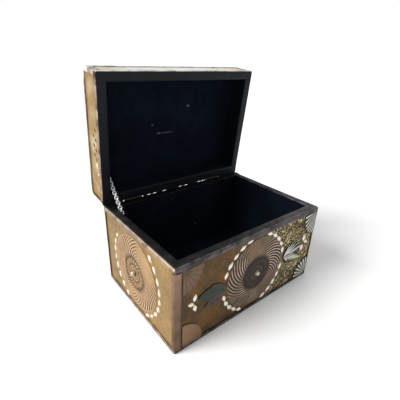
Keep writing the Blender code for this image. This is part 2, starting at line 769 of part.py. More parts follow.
def build_lid(lid_axis):
    """The lid's carcass, lining, sheets and strips."""
    low = LID_RIM + TRIM + GAP
    roof = LID_TOP - WOOD_FACE
    ceiling = roof - WOOD_LID_TOP
    add_object("lid_carcass", open_box(WOOD_FACE, WOOD_INNER, roof, ceiling, low), WOOD, lid_axis)
    lining_high = ceiling - GAP
    felt = open_box(LINING_FACE, LINING_INNER, lining_high, lining_high - LINING, low)
    add_object("lid_lining", felt, FELT, lid_axis)
    side_low = LID_RIM + max(LID_RIM_RADIUS, TRIM) + GAP
    side_high = LID_TOP - EDGE_RADIUS
    for side, face in SIDES.items():
        is_long = side in ("front", "back")
        half = BOX_LENGTH / 2 - SHEET_FACE if is_long else BOX_DEPTH / 2 - SHEET_BACK - GAP
        made = add_object(f"lid_{side}_panel", panel(face, half, side_low, side_high), BRASS, lid_axis)
        if side == "left":
            punches = bmesh.new()
            slot_cutters(punches, face)
            guide = add_object("lid_left_punches", punches, BRASS, lid_axis)
            add_boolean(made, guide, "DIFFERENCE")
    half_depth = BOX_DEPTH / 2 - EDGE_RADIUS
    top_beads = bmesh.new()
    long_ring(top_beads, TOP, 0.0, 0.0)
    top_sheet = panel(TOP, BOX_LENGTH / 2 - EDGE_RADIUS, -half_depth, half_depth)
    ornament_panel("lid_top_panel", top_sheet, top_beads, lid_axis)
    add_object("lid_medallion", medallion(TOP, 0.0, 0.0, HIDDEN_FLUTES), COPPER, lid_axis)
    smooth(add_object("lid_knob", knob(TOP, 0.0, 0.0), BRASS, lid_axis), radians(50))
    for side, word in ((-1, "left"), (1, "right")):
        add_object(f"lid_leaf_{word}", leaf(TOP, 0.0, 0.0, side), WHITE_METAL, lid_axis)
    profile = angle_profile(LID_TOP, -1, EDGE_FLANGE, EDGE_FLANGE, EDGE_RADIUS)
    smooth(add_object("lid_edge_trim", ring(profile), COPPER, lid_axis), radians(40))
    profile = angle_profile(LID_RIM, 1, LINING_INNER, RIM_FLANGE, LID_RIM_RADIUS)
    rim = add_object("lid_rim_trim", ring(profile), DARK_RIM, lid_axis)
    for word, middle in HINGE_PLACES.items():
        add_boolean(rim, hinge_notch(f"lid_rim_notch_{word}", middle, 1, lid_axis), "DIFFERENCE")
    add_corner_strips("lid", LID_RIM + RIM_FLANGE + GAP, LID_TOP - EDGE_FLANGE - GAP, lid_axis)


def build_hinges(lid_axis):
    """Two butt hinges: the box's plate has the outer knuckles, the lid's the middle one."""
    third = (HINGE_WIDTH - 2 * GAP) / 3
    half = HINGE_WIDTH / 2
    outer = [(-half, -half + third), (half - third, half)]
    inner = [(-half + third + GAP, half - third - GAP)]
    for word, middle in HINGE_PLACES.items():
        hinge_leaf(f"box_hinge_leaf_{word}", middle, -1, outer, None)
        hinge_leaf(f"lid_hinge_leaf_{word}", middle, 1, inner, lid_axis)
        pin = bmesh.new()
        barrel(pin, middle - half, middle + half, PIN_RADIUS, 0.0)
        add_object(f"hinge_pin_{word}", pin, STEEL)


def build_stay(lid_axis):
    """The chain that stops the lid, and its two eyes."""
    box_eye = eye_centre(BOX_EYE_FORWARD, BODY_HEIGHT - BOX_EYE_DOWN)
    lid_eye_shut = eye_centre(LID_EYE_FORWARD, LID_RIM + LID_EYE_UP)
    lid_eye = turned_open(lid_eye_shut)
    pull = (lid_eye - box_eye).normalized()
    chain_eye("box_chain_eye", box_eye, pull, None)
    shut_pull = Matrix.Rotation(OPEN_ANGLE, 3, "X") @ pull
    chain_eye("lid_chain_eye", lid_eye_shut, -shut_pull, lid_axis)
    stay_chain(box_eye, lid_eye)


def main():
    """Build the whole box with its lid open on the chain."""
    clear_scene()
    lid_axis = bpy.data.objects.new("lid_hinge_axis", None)
    lid_axis.location = AXIS
    lid_axis.rotation_euler.x = -OPEN_ANGLE
    bpy.context.scene.collection.objects.link(lid_axis)
    build_carcass_and_lining()
    build_body_panels()
    build_body_trims()
    build_lid(lid_axis)
    build_hinges(lid_axis)
    build_stay(lid_axis)


main()
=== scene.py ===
"""Embossed metal-clad trinket box, standing open on its stay chain, on a pale studio floor."""

from __future__ import annotations

import json
import logging
import math
from dataclasses import dataclass, field
from enum import Enum
from typing import Any, Callable, Sequence

import bpy
import numpy as np
from mathutils import Matrix, Vector

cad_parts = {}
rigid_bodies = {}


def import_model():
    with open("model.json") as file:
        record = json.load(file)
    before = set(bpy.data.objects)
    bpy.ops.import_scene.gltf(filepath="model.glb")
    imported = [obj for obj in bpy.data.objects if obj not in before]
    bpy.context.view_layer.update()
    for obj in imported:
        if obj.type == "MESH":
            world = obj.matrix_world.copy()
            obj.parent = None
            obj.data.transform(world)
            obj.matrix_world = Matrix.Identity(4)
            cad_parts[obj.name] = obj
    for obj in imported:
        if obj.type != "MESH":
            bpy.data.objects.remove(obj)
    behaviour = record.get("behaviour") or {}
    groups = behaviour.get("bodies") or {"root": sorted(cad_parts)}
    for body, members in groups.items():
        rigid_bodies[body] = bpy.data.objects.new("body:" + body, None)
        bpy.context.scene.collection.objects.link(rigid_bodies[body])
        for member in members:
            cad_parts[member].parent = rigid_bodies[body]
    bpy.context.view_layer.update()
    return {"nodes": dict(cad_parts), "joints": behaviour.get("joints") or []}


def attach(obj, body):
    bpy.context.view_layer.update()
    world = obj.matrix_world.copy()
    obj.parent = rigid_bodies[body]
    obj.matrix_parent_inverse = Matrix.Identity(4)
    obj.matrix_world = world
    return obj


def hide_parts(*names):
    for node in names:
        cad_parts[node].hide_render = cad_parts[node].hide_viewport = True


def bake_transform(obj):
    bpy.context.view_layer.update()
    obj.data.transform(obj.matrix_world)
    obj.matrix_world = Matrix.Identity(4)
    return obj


LOG = logging.getLogger("trinket_box")
Array = np.ndarray
Socket = bpy.types.NodeSocket
Colour = tuple[float, float, float]


# Shader building


class Level:
    """A number that varies over a surface, whose operators add Math nodes."""

    def __init__(self, tree: bpy.types.NodeTree, socket: Socket) -> None:
        """Keep the socket and the tree that it belongs to."""
        self.tree = tree
        self.socket = socket

    def _math(self, operation: str, first: Any, second: Any) -> Level:
        """Add a Math node on two values.

        Args:
            operation: the Math node's operation.
            first: a Level or a number.
            second: a Level or a number.

        Returns:
            The node's result.
        """
        made = self.tree.nodes.new("ShaderNodeMath")
        made.operation = operation
        for place, value in enumerate((first, second)):
            if isinstance(value, Level):
                self.tree.links.new(value.socket, made.inputs[place])
            else:
                made.inputs[place].default_value = float(value)
        return Level(self.tree, made.outputs[0])

    def __add__(self, other: Any) -> Level:
        """Return self + other."""
        return self._math("ADD", self, other)

    __radd__ = __add__

    def __sub__(self, other: Any) -> Level:
        """Return self - other."""
        return self._math("SUBTRACT", self, other)

    def __rsub__(self, other: Any) -> Level:
        """Return other - self."""
        return self._math("SUBTRACT", other, self)

    def __mul__(self, other: Any) -> Level:
        """Return self * other."""
        return self._math("MULTIPLY", self, other)

    __rmul__ = __mul__


class SurfaceTree:
    """The node tree of one finish, with a Principled shader at its end."""

    def __init__(self, name: str) -> None:
        """Make the material and its shader."""
        self.material = bpy.data.materials.new(name)
        self.material.use_nodes = True
        self.tree = self.material.node_tree
        self.shader = self.tree.nodes["Principled BSDF"]
        self.place = self.node("ShaderNodeTexCoord").outputs["Object"]

    def node(
        self,
        kind: str,
        settings: dict[str, Any] | None = None,
        sockets: dict[Any, Any] | None = None,
    ) -> bpy.types.Node:
        """Add a node.

        Args:
            kind: the node's type.
            settings: its properties, set first.
            sockets: values or links for its inputs, by name or place.

        Returns:
            The node.
        """
        made = self.tree.nodes.new(kind)
        for key, value in (settings or {}).items():
            setattr(made, key, value)
        for key, value in (sockets or {}).items():
            self.feed(made.inputs[key], value)
        return made

    def feed(self, socket: Socket, value: Any) -> None:
        """Link a level or an output to a socket, or set its value."""
        if isinstance(value, Level):
            self.tree.links.new(value.socket, socket)
        elif isinstance(value, Socket):
            self.tree.links.new(value, socket)
        elif isinstance(value, tuple) and socket.type == "RGBA":
            socket.default_value = (*value, 1.0)
        else:
            socket.default_value = value

    def level(self, socket: Socket) -> Level:
        """Wrap an output as a level."""
        return Level(self.tree, socket)

    def attribute(self, name: str) -> Level:
        """Read a number kept at each point of the mesh."""
        settings = {"attribute_type": "GEOMETRY", "attribute_name": name}
        return self.level(self.node("ShaderNodeAttribute", settings).outputs["Fac"])

    def noise(self, scale: float, detail: float = 2.0, stretch: Colour = (1.0, 1.0, 1.0)) -> Level:
        """Add cloudy noise over the object's own place.

        Args:
            scale: how many clouds fit in a metre.
            detail: how many finer layers it has.
            stretch: how much faster it changes along each direction.

        Returns:
            The noise, about 0 to 1.
        """
        place = self.place
        if stretch != (1.0, 1.0, 1.0):
            place = self.vector("MULTIPLY", self.place, stretch).outputs[0]
        sockets = {"Vector": place, "Scale": scale, "Detail": detail, "Roughness": 0.55}
        return self.level(self.node("ShaderNodeTexNoise", None, sockets).outputs["Fac"])

    def step(self, value: Level, low: float, high: float) -> Level:
        """Return a smooth step from 0 at low to 1 at high."""
        sockets = {"Value": value, "From Min": low, "From Max": high}
        made = self.node("ShaderNodeMapRange", {"interpolation_type": "SMOOTHSTEP"}, sockets)
        return self.level(made.outputs[0])

    def mix(self, factor: Any, first: Any, second: Any) -> Socket:
        """Mix two colours.

        Args:
            factor: the share of the second colour.
            first: a colour or an output.
            second: a colour or an output.

        Returns:
            The mixed colour.
        """
        sockets = {0: factor, 6: first, 7: second}
        return self.node("ShaderNodeMix", {"data_type": "RGBA"}, sockets).outputs[2]

    def vector(self, operation: str, first: Any, second: Any = (0.0, 0.0, 0.0)) -> bpy.types.Node:
        """Add a Vector Math node on two vectors."""
        return self.node("ShaderNodeVectorMath", {"operation": operation}, {0: first, 1: second})

    def ramp(self, value: Level, stops: Sequence[tuple[float, Colour]]) -> Socket:
        """Turn a level into a colour.

        Args:
            value: the level.
            stops: places from 0 to 1 and their colours.

        Returns:
            The colour.
        """
        made = self.node("ShaderNodeValToRGB", None, {"Fac": value})
        elements = made.color_ramp.elements
        while len(elements) < len(stops):
            elements.new(0.5)
        for element, (position, colour) in zip(elements, stops):
            element.position = position
            element.color = (*colour, 1.0)
        return made.outputs[0]

    def bump(self, height: Level, distance: float, strength: float = 1.0) -> None:
        """Tilt the surface by a height.

        Args:
            height: the height, 0 to 1.
            distance: how many metres a height of 1 stands for.
            strength: how much of it shows.
        """
        sockets = {"Height": height, "Distance": distance, "Strength": strength}
        made = self.node("ShaderNodeBump", None, sockets)
        self.feed(self.shader.inputs["Normal"], made.outputs[0])

    def finish(self, **values: Any) -> bpy.types.Material:
        """Set the shader's sockets by name, with _ for a space, and return the material."""
        for key, value in values.items():
            self.feed(self.shader.inputs[key.replace("_", " ")], value)
        return self.material


# Finishes


@dataclass(frozen=True)
class AgedMetal:
    """Worked sheet metal: dark in its hollows, rubbed bright on its high places, clouded all over.

    tones are the metal's colours along the tone that each point of a mesh holds, from 0 to 1. patina
    tints wide soft clouds of it. The pit colour is painted shade, near black, for the depth of a punched
    slot, put where the sheet is sunk far below its face.
    """

    name: str
    slot: str
    tones: tuple[tuple[float, Colour], ...]
    hollow: Colour
    rubbed: Colour
    rub: float = 0.5
    hollow_reach: tuple[float, float] = (0.05, 0.5)
    clouding: float = 0.35
    roughness: float = 0.42
    metallic: float = 0.9
    grain: float = 0.00012
    speckle: float = 0.15
    worked: bool = True
    patina: Colour | None = None
    hole_shade: Colour | None = None
    specular: float = 0.5

    def build(self) -> bpy.types.Material:
        """Build the material."""
        tree = SurfaceTree(self.name)
        clouds = tree.noise(34.0, 3.0)
        blots = tree.noise(190.0, 3.0)
        pits = tree.noise(1300.0, 2.0)
        raised = tree.attribute("relief") if self.worked else blots
        raised = raised + 0.3 * (blots - 0.5) + 0.12 * (pits - 0.5)
        tone = tree.attribute("tone") + 0.35 * (clouds - 0.5)
        colour = tree.ramp(tone, self.tones)
        if self.patina:
            tinted = tree.step(tree.noise(52.0, 4.0), 0.47, 0.62) * 0.75
            colour = tree.mix(tinted, colour, self.patina)
        stain = tree.step(clouds * 0.65 + blots * 0.35, 0.42, 0.68) * self.clouding
        colour = tree.mix(stain, colour, self.hollow)
        deep = 1.0 - tree.step(raised, *self.hollow_reach)
        colour = tree.mix(deep, colour, self.hollow)
        # Painted shade: where a punched slot sinks the sheet far below its face, it is painted near black
        # for the slot's depth.
        if self.hole_shade:
            colour = tree.mix(1.0 - tree.step(raised, -1.2, -0.6), colour, self.hole_shade)
        high = tree.step(raised, 0.62, 1.05) * self.rub
        colour = tree.mix(high, colour, self.rubbed)
        dots = tree.step(pits, 0.60, 0.72) * self.speckle
        colour = tree.mix(dots, colour, self.hollow)
        rough = self.roughness + 0.22 * deep + 0.18 * stain - 0.08 * high + 0.16 * (blots - 0.5)
        tree.bump(blots * 0.35 + pits * 0.65, self.grain, 0.8)
        metal = self.metallic - 0.35 * deep - 0.2 * stain
        shine = self.specular
        return tree.finish(Base_Color=colour, Roughness=rough, Metallic=metal, Specular_IOR_Level=shine)


@dataclass(frozen=True)
class BlackFelt:
    """The black nap of the lining, with a few specks of lint."""

    name: str
    slot: str
    deep: Colour = (0.0014, 0.0026, 0.0056)
    nap: Colour = (0.0042, 0.0076, 0.0150)
    lint: Colour = (0.11, 0.12, 0.14)
    specks: tuple[tuple[Colour, Colour, float], ...] = ()
    on_lid: bool = False

    def build(self) -> bpy.types.Material:
        """Build the material."""
        tree = SurfaceTree(self.name)
        fibre = tree.noise(1500.0, 3.0, (1.0, 1.7, 1.0))
        patch = tree.noise(22.0, 2.0)
        brushed = tree.noise(120.0, 3.0, (1.0, 3.0, 1.0))
        lay = 0.5 * patch + 0.3 * brushed + 0.2 * fibre
        colour = tree.mix(tree.step(lay, 0.35, 0.68), self.deep, self.nap)
        for centre, spread, strength in self.specks:
            if self.on_lid:
                centre = tuple(Hang.opened(np.array([centre]))[0])
            colour = tree.mix(self.speck(tree, centre, spread) * strength, colour, self.lint)
        tree.bump(fibre * 0.7 + brushed * 0.3, 0.00035, 0.7)
        return tree.finish(Base_Color=colour, Roughness=0.95, Specular_IOR_Level=0.08)

    def speck(self, tree: SurfaceTree, centre: Colour, spread: Colour) -> Level:
        """Mask a soft speck.

        Args:
            tree: the finish's tree.
            centre: its middle, where the lining now stands.
            spread: its half sizes along each direction.

        Returns:
            1 in its middle, 0 outside.
        """
        away = tree.vector("SUBTRACT", tree.place, centre)
        share = tree.vector("DIVIDE", away.outputs[0], spread)
        length = tree.vector("LENGTH", share.outputs[0])
        ragged = tree.level(length.outputs["Value"]) + 0.9 * (tree.noise(900.0, 2.0) - 0.5)
        return 1.0 - tree.step(ragged, 0.45, 1.0)


@dataclass(frozen=True)
class CarcassWood:
    """Dark stained softwood, with its grain along the box's length."""

    name: str
    slot: str
    early: Colour = (0.115, 0.062, 0.032)
    late: Colour = (0.040, 0.021, 0.012)

    def build(self) -> bpy.types.Material:
        """Build the material."""
        tree = SurfaceTree(self.name)
        sockets = {"Vector": tree.place, "Scale": 9.0, "Distortion": 5.0, "Detail": 3.0, "Detail Scale": 2.2}
        settings = {"wave_type": "BANDS", "bands_direction": "Y", "wave_profile": "SIN"}
        rings = tree.level(tree.node("ShaderNodeTexWave", settings, sockets).outputs["Fac"])
        fibres = tree.noise(700.0, 4.0, (0.06, 1.0, 1.0))
        soil = tree.noise(40.0, 3.0)
        grain = 0.55 * rings + 0.45 * fibres
        colour = tree.mix(tree.step(grain, 0.25, 0.8), self.late, self.early)
        colour = tree.mix(tree.step(soil, 0.5, 0.75) * 0.5, colour, self.late)
        tree.bump(fibres, 0.0002, 0.6)
        return tree.finish(Base_Color=colour, Roughness=0.62 + 0.25 * (1.0 - fibres))


class Finishes(Enum):
    """The finishes of the box."""

    # Painted shade and painted light: the front's brass is a darker copy of the brass on the other faces,
    # which is a lighter copy, because the front faces away from the light and the left side toward it. Both
    # keep the metal's own patina and tones.
    FRONT_BRASS = AgedMetal(
        "front brass", "brass",
        ((0.0, (0.104, 0.06, 0.018)), (0.45, (0.118, 0.078, 0.026)), (1.0, (0.375, 0.32, 0.155))),
        hollow=(0.032, 0.024, 0.012), rubbed=(0.66, 0.55, 0.32), rub=0.85, hollow_reach=(0.08, 0.55),
        clouding=0.5, patina=(0.225, 0.096, 0.024),
    )
    SIDE_BRASS = AgedMetal(
        "side brass", "brass", ((0.0, (0.298, 0.18, 0.064)), (1.0, (0.415, 0.288, 0.122))),
        hollow=(0.17, 0.1, 0.042), rubbed=(0.62, 0.49, 0.29), clouding=0.5, speckle=0.08,
        patina=(0.435, 0.28, 0.086),
    )
    # Its last stop, near white, is a painted highlight on the open lid's front, which faces up toward the
    # light; the metal there is a pale silvery brass.
    LID_BRASS = AgedMetal(
        "lid brass", "brass",
        ((0.0, (0.31, 0.18, 0.045)), (0.5, (0.7, 0.61, 0.4)), (1.0, (0.94, 0.94, 0.92))),
        hollow=(0.15, 0.095, 0.04), rubbed=(0.94, 0.9, 0.78), hollow_reach=(-0.3, 0.3), clouding=0.35,
        metallic=0.55, hole_shade=(0.022, 0.014, 0.008),
    )
    # Painted shade and painted light: the front medallion's copper is a darker copy of the other medallions'
    # copper, which is a lighter copy, for the shaded front and the lit left side. The front copy also keeps
    # its own patina.
    COPPER = AgedMetal(
        "brown copper", "copper",
        ((0.0, (0.048, 0.04, 0.03)), (0.5, (0.225, 0.155, 0.098)), (1.0, (0.3, 0.16, 0.1))),
        hollow=(0.034, 0.024, 0.018), rubbed=(0.86, 0.73, 0.6), rub=1.0, hollow_reach=(0.1, 0.66),
        clouding=0.2, patina=(0.25, 0.14, 0.08),
    )
    SIDE_COPPER = AgedMetal(
        "bright copper", "copper", ((0.0, (0.2, 0.13, 0.08)), (1.0, (0.54, 0.35, 0.18))),
        hollow=(0.075, 0.042, 0.022), rubbed=(0.9, 0.74, 0.54), rub=1.0, hollow_reach=(0.05, 0.55),
        clouding=0.2,
    )
    # Its last, silver stop is a painted highlight, used on the open lid's front, which faces up toward the
    # light.
    STRIP_COPPER = AgedMetal(
        "strip copper", "copper",
        ((0.0, (0.11, 0.06, 0.028)), (0.7, (0.35, 0.215, 0.15)), (1.0, (0.86, 0.85, 0.8))),
        hollow=(0.05, 0.024, 0.016), rubbed=(0.44, 0.295, 0.195), rub=0.4, clouding=0.2, metallic=0.75,
    )
    WHITE_METAL = AgedMetal(
        "white metal", "white_metal", ((0.0, (0.94, 0.85, 0.72)), (1.0, (0.6, 0.49, 0.36))),
        hollow=(0.22, 0.18, 0.12), rubbed=(0.98, 0.96, 0.9), clouding=0.15, roughness=0.38,
        metallic=0.55,
    )
    LEAF_METAL = AgedMetal(
        "leaf metal", "white_metal",
        (
            (0.0, (0.64, 0.63, 0.58)), (0.35, (0.26, 0.28, 0.25)), (0.6, (0.16, 0.14, 0.17)),
            (1.0, (0.27, 0.29, 0.11)),
        ),
        hollow=(0.02, 0.018, 0.016), rubbed=(0.82, 0.81, 0.77), hollow_reach=(0.15, 0.7), clouding=0.2,
    )
    STAINED_METAL = AgedMetal(
        "stained metal", "white_metal",
        (
            (0.0, (0.043, 0.048, 0.038)), (0.4, (0.075, 0.062, 0.066)), (0.75, (0.17, 0.11, 0.074)),
            (1.0, (0.255, 0.15, 0.078)),
        ),
        hollow=(0.026, 0.02, 0.016), rubbed=(0.2, 0.175, 0.14), rub=0.4, clouding=0.25,
    )
    # On the body's rim these stops also carry painted light and shade: black along the back, greyer on the
    # right front, and pale copper on the left flange.
    DARK_RIM = AgedMetal(
        "dark rim", "dark_rim",
        (
            (0.0, (0.008, 0.008, 0.01)), (0.3, (0.045, 0.042, 0.04)), (0.6, (0.125, 0.11, 0.115)),
            (0.85, (0.25, 0.155, 0.1)), (1.0, (0.425, 0.322, 0.218)),
        ),
        hollow=(0.01, 0.009, 0.01), rubbed=(0.34, 0.32, 0.33), rub=0.5, roughness=0.5,
    )
    # Its black stops are the rim's black paint; its last, silver stop is a painted highlight on the open
    # lid's front, which faces up toward the light.
    BLACK_RIM = AgedMetal(
        "black rim", "dark_rim",
        (
            (0.0, (0.006, 0.009, 0.013)), (0.5, (0.01, 0.012, 0.016)), (0.7, (0.3, 0.19, 0.13)),
            (1.0, (0.78, 0.76, 0.7)),
        ),
        hollow=(0.005, 0.007, 0.01), rubbed=(0.1, 0.085, 0.078), rub=0.15, specular=0.3, roughness=0.5,
        metallic=0.5,
    )
    KNOB_BRASS = AgedMetal(
        "nail brass", "brass", ((0.0, (0.34, 0.27, 0.17)), (1.0, (0.55, 0.48, 0.36))),
        hollow=(0.05, 0.035, 0.02), rubbed=(0.8, 0.74, 0.62), roughness=0.3,
    )
    HINGE_BRASS = AgedMetal(
        "hinge brass", "brass", ((0.0, (0.02, 0.017, 0.013)), (1.0, (0.05, 0.041, 0.027))),
        hollow=(0.008, 0.007, 0.006), rubbed=(0.14, 0.12, 0.08),
    )
    WIRE = AgedMetal(
        "nickel wire", "wire", ((0.0, (0.66, 0.66, 0.65)), (1.0, (0.8, 0.79, 0.77))),
        hollow=(0.16, 0.155, 0.145), rubbed=(0.96, 0.96, 0.94), clouding=0.1, roughness=0.3,
        metallic=0.6,
    )
    PIN_WIRE = AgedMetal(
        "pin wire", "wire", ((0.0, (0.4, 0.4, 0.39)), (1.0, (0.55, 0.54, 0.52))),
        hollow=(0.08, 0.075, 0.07), rubbed=(0.8, 0.8, 0.78), worked=False,
    )
    FELT = BlackFelt(
        "black felt",
        "lining",
        specks=(
            ((0.0197, 0.0578, 0.0402), (0.0016, 0.0030, 0.0016), 0.7),
        ),
    )
    LID_FELT = BlackFelt(
        "lid felt",
        "lining",
        specks=(
            ((0.0223, -0.0246, 0.1190), (0.0026, 0.0016, 0.0020), 0.8),
            ((-0.0262, -0.0054, 0.1190), (0.0018, 0.0016, 0.0016), 0.45),
            ((-0.0070, 0.0054, 0.1190), (0.0130, 0.0016, 0.0012), 0.35),
            ((-0.0179, 0.0052, 0.1190), (0.0032, 0.0016, 0.0016), 0.55),
        ),
        on_lid=True,
    )
    WOOD = CarcassWood("carcass wood", "wood")

    @property
    def material(self) -> bpy.types.Material:
        """The finish's material, built once."""
        return bpy.data.materials.get(self.value.name) or self.value.build()


# Shapes


def circle(count: int) -> Array:
    """Return even angles round a circle."""
    return np.linspace(0, 2 * math.pi, count, endpoint=False)


def unit(vectors: Array) -> Array:
    """Return the vectors at a length of 1."""
    return vectors / np.linalg.norm(vectors, axis=-1, keepdims=True)


def put(name: str, data: bpy.types.ID) -> bpy.types.Object:
    """Put a new object in the scene."""
    made = bpy.data.objects.new(name, data)
    bpy.context.scene.collection.objects.link(made)
    return made


@dataclass(frozen=True)
class Unevenness:
    """Smooth irregular height over space: waves in fixed random directions."""

    seed: int
    wavelength: float
    waves: int = 20

    def at(self, points: Array) -> Array:
        """Return the height at each point, about -1 to 1."""
        chance = np.random.default_rng(self.seed)
        turns = unit(chance.normal(size=(self.waves, 3)))
        pace = 2 * math.pi / (self.wavelength * chance.uniform(0.7, 1.5, self.waves))
        phases = chance.uniform(0, 2 * math.pi, self.waves)
        total = np.sin(points @ (turns * pace[:, None]).T + phases).sum(axis=-1)
        return total / math.sqrt(self.waves)

    def on(self, a: Array, b: Array) -> Array:
        """Return the height at places on a face."""
        return self.at(np.stack([a, b, 0 * a], -1))


class Face:
    """A side of the box: a point on its outer plane, and its right, up and outward directions."""

    def __init__(self, origin: Sequence[float], right: Sequence[float], up: Sequence[float]) -> None:
        """Keep the point and the directions."""
        self.origin = np.array(origin, float)
        self.right = np.array(right, float)
        self.up = np.array(up, float)
        self.out = np.cross(self.right, self.up)

    def at(self, across: Any, above: Any, outward: Any) -> Array:
        """Return the points at these distances on the face."""
        across, above, outward = np.broadcast_arrays(across, above, outward)
        parts = (across[..., None] * self.right, above[..., None] * self.up, outward[..., None] * self.out)
        return self.origin + parts[0] + parts[1] + parts[2]


class Shell:
    """Points and faces gathered for one piece, with a relief and a tone at each point."""

    def __init__(self) -> None:
        """Start empty."""
        self.points: list[Array] = []
        self.faces: list[Array] = []
        self.relief: list[Array] = []
        self.tone: list[Array] = []
        self.count = 0

    def add(self, points: Array, faces: list[Array], relief: Any, tone: Any) -> None:
        """Add a closed form, turned so that its faces look outward.

        Args:
            points: its points, one row each.
            faces: arrays of corners, one array for each number of corners.
            relief: how high each point stands, 0 to 1.
            tone: where each point stands among the finish's colours, 0 to 1.
        """
        middle = points.mean(axis=0)
        volume = 0.0
        for rows in faces:
            corners = points[rows] - middle
            for k in range(1, rows.shape[1] - 1):
                crossed = np.cross(corners[:, k], corners[:, k + 1])
                volume += float((corners[:, 0] * crossed).sum())
        for rows in faces:
            turned = rows if volume > 0 else rows[:, ::-1]
            self.faces.append(turned + self.count)
        self.points.append(points)
        self.relief.append(np.broadcast_to(relief, len(points)))
        self.tone.append(np.broadcast_to(tone, len(points)))
        self.count += len(points)

    def sheet(self, front: Array, back: Array, relief: Any, tone: Any = 0.5) -> None:
        """Add a closed slab with a worked front and a flat back.

        Args:
            front: the front's points, rows by columns.
            back: the back's points at the same places; only its border is used.
            relief: how high each front point stands.
            tone: each front point's tone.
        """
        rows, columns = front.shape[:2]
        index = np.arange(rows * columns).reshape(rows, columns)
        quads = np.stack([index[:-1, :-1], index[:-1, 1:], index[1:, 1:], index[1:, :-1]], -1).reshape(-1, 4)
        border = np.concatenate([index[0, :-1], index[:-1, -1], index[-1, :0:-1], index[:0:-1, 0]])
        under = rows * columns + np.arange(len(border))
        sides = np.stack([border, under, np.roll(under, -1), np.roll(border, -1)], -1)
        points = np.concatenate([front.reshape(-1, 3), back.reshape(-1, 3)[border]])
        height = np.broadcast_to(relief, (rows, columns)).ravel()
        height = np.concatenate([height, height[border]])
        colour = np.broadcast_to(tone, (rows, columns)).ravel()
        colour = np.concatenate([colour, colour[border]])
        self.add(points, [quads, sides, under[::-1][None, :]], height, colour)

    def laid(self, face: Face, a: Array, b: Array, height: Any, relief: Any, tone: Any) -> None:
        """Add a closed slab that is laid on a face's sheet.

        Args:
            face: the face.
            a: the points' places across.
            b: the points' places above.
            height: how high its front stands over the sheet.
            relief: how high each point stands in the slab's own relief.
            tone: each point's tone.
        """
        front = face.at(a, b, height - PLAN.laid_on)
        self.sheet(front, face.at(a, b, -PLAN.laid_on - 0.0001), relief, tone)

    def tube(
        self, rows: Array, relief: Any, tone: Any = 0.5, around: bool = True, along: bool = False
    ) -> None:
        """Add a closed form from loops of points.

        Args:
            rows: the loops' points, loops by points.
            relief: how high each point stands.
            tone: each point's tone.
            around: whether each loop closes on itself.
            along: whether the last loop joins the first; otherwise both ends are capped.
        """
        loops, count = rows.shape[:2]
        index = np.arange(loops * count).reshape(loops, count)
        ahead = np.roll(index, -1, axis=0) if along else index[1:]
        base = index if along else index[:-1]
        if around:
            right, right_ahead = np.roll(base, -1, axis=1), np.roll(ahead, -1, axis=1)
        else:
            base, ahead, right, right_ahead = base[:, :-1], ahead[:, :-1], base[:, 1:], ahead[:, 1:]
        faces = [np.stack([base, right, right_ahead, ahead], -1).reshape(-1, 4)]
        if not along:
            faces.append(index[0][::-1][None, :])
            faces.append(index[-1][None, :])
        height = np.broadcast_to(relief, (loops, count)).ravel()
        colour = np.broadcast_to(tone, (loops, count)).ravel()
        self.add(rows.reshape(-1, 3), faces, height, colour)

    def disc(self, rings: Array, base: Array, relief: Any, tone: Any = 0.5) -> None:
        """Add a closed disc from rings of points, the innermost first, over a flat base ring."""
        tall = np.concatenate([rings, base[None]])
        relief = np.broadcast_to(relief, rings.shape[:2])
        relief = np.concatenate([relief, relief[-1:]])
        tone = np.broadcast_to(tone, rings.shape[:2])
        self.tube(tall, relief, np.concatenate([tone, tone[-1:]]))

    def make(
        self, name: str, finish: Finishes, body: str, sharp: float, replaced: Sequence[str] | None = None
    ) -> bpy.types.Object:
        """Turn the gathered forms into a piece.

        Args:
            name: the piece's name.
            finish: its finish.
            body: the body that it rides on; "" leaves it free.
            sharp: edges sharper than this many degrees stay crisp.
            replaced: the solids that it stands for; None is the solid of its own name.

        Returns:
            The piece.
        """
        replaced = [name] if replaced is None else replaced
        name = f"{name}_worked" if name in replaced else name
        points = np.concatenate(self.points)
        if body == "lid":
            points = Hang.opened(points)
        mesh = bpy.data.meshes.new(name)
        faces = [corners for rows in self.faces for corners in rows.tolist()]
        mesh.from_pydata(points.astype(np.float32), [], faces)
        mesh.validate()
        for word, values in (("relief", self.relief), ("tone", self.tone)):
            kept = mesh.attributes.new(word, "FLOAT", "POINT")
            kept.data.foreach_set("value", np.concatenate(values).astype(np.float32))
        mesh.polygons.foreach_set("use_smooth", np.ones(len(mesh.polygons), bool))
        mesh.set_sharp_from_angle(angle=math.radians(sharp))
        mesh.materials.append(finish.material)
        made = put(name, mesh)
        if body:
            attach(made, body)
        if replaced:
            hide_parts(*replaced)
        LOG.info("%s: %d faces", name, len(mesh.polygons))
        return made


class Hang:
    """How the open lid hangs: the hinge's axis and the turn from shut to open."""

    axis = np.zeros(3)
    turn = 0.0

    @classmethod
    def read(cls, joint: dict[str, Any]) -> None:
        """Take the axis and the turn from the lid's joint."""
        cls.axis = np.array(joint["pos_m"], float)
        cls.turn = -math.radians(joint["range_deg"][1])

    @classmethod
    def opened(cls, points: Array) -> Array:
        """Turn points given with the lid shut to where the open lid carries them."""
        c, s = math.cos(cls.turn), math.sin(cls.turn)
        turning = np.array([[1, 0, 0], [0, c, -s], [0, s, c]])
        return cls.axis + (points - cls.axis) @ turning.T


def over(value: Any, first: Array, second: Array) -> Any:
    """Return a value that is given as a number or as a function of two grids."""
    return value(first, second) if callable(value) else value


def between(first: Any, second: Any, share: Any) -> Any:
    """Return first where share is 0 and second where it is 1."""
    return first * (1 - share) + second * share


def smooth_step(value: Array, low: float, high: float) -> Array:
    """Return a smooth step from 0 at low to 1 at high."""
    share = np.clip((value - low) / (high - low), 0.0, 1.0)
    return share * share * (3 - 2 * share)


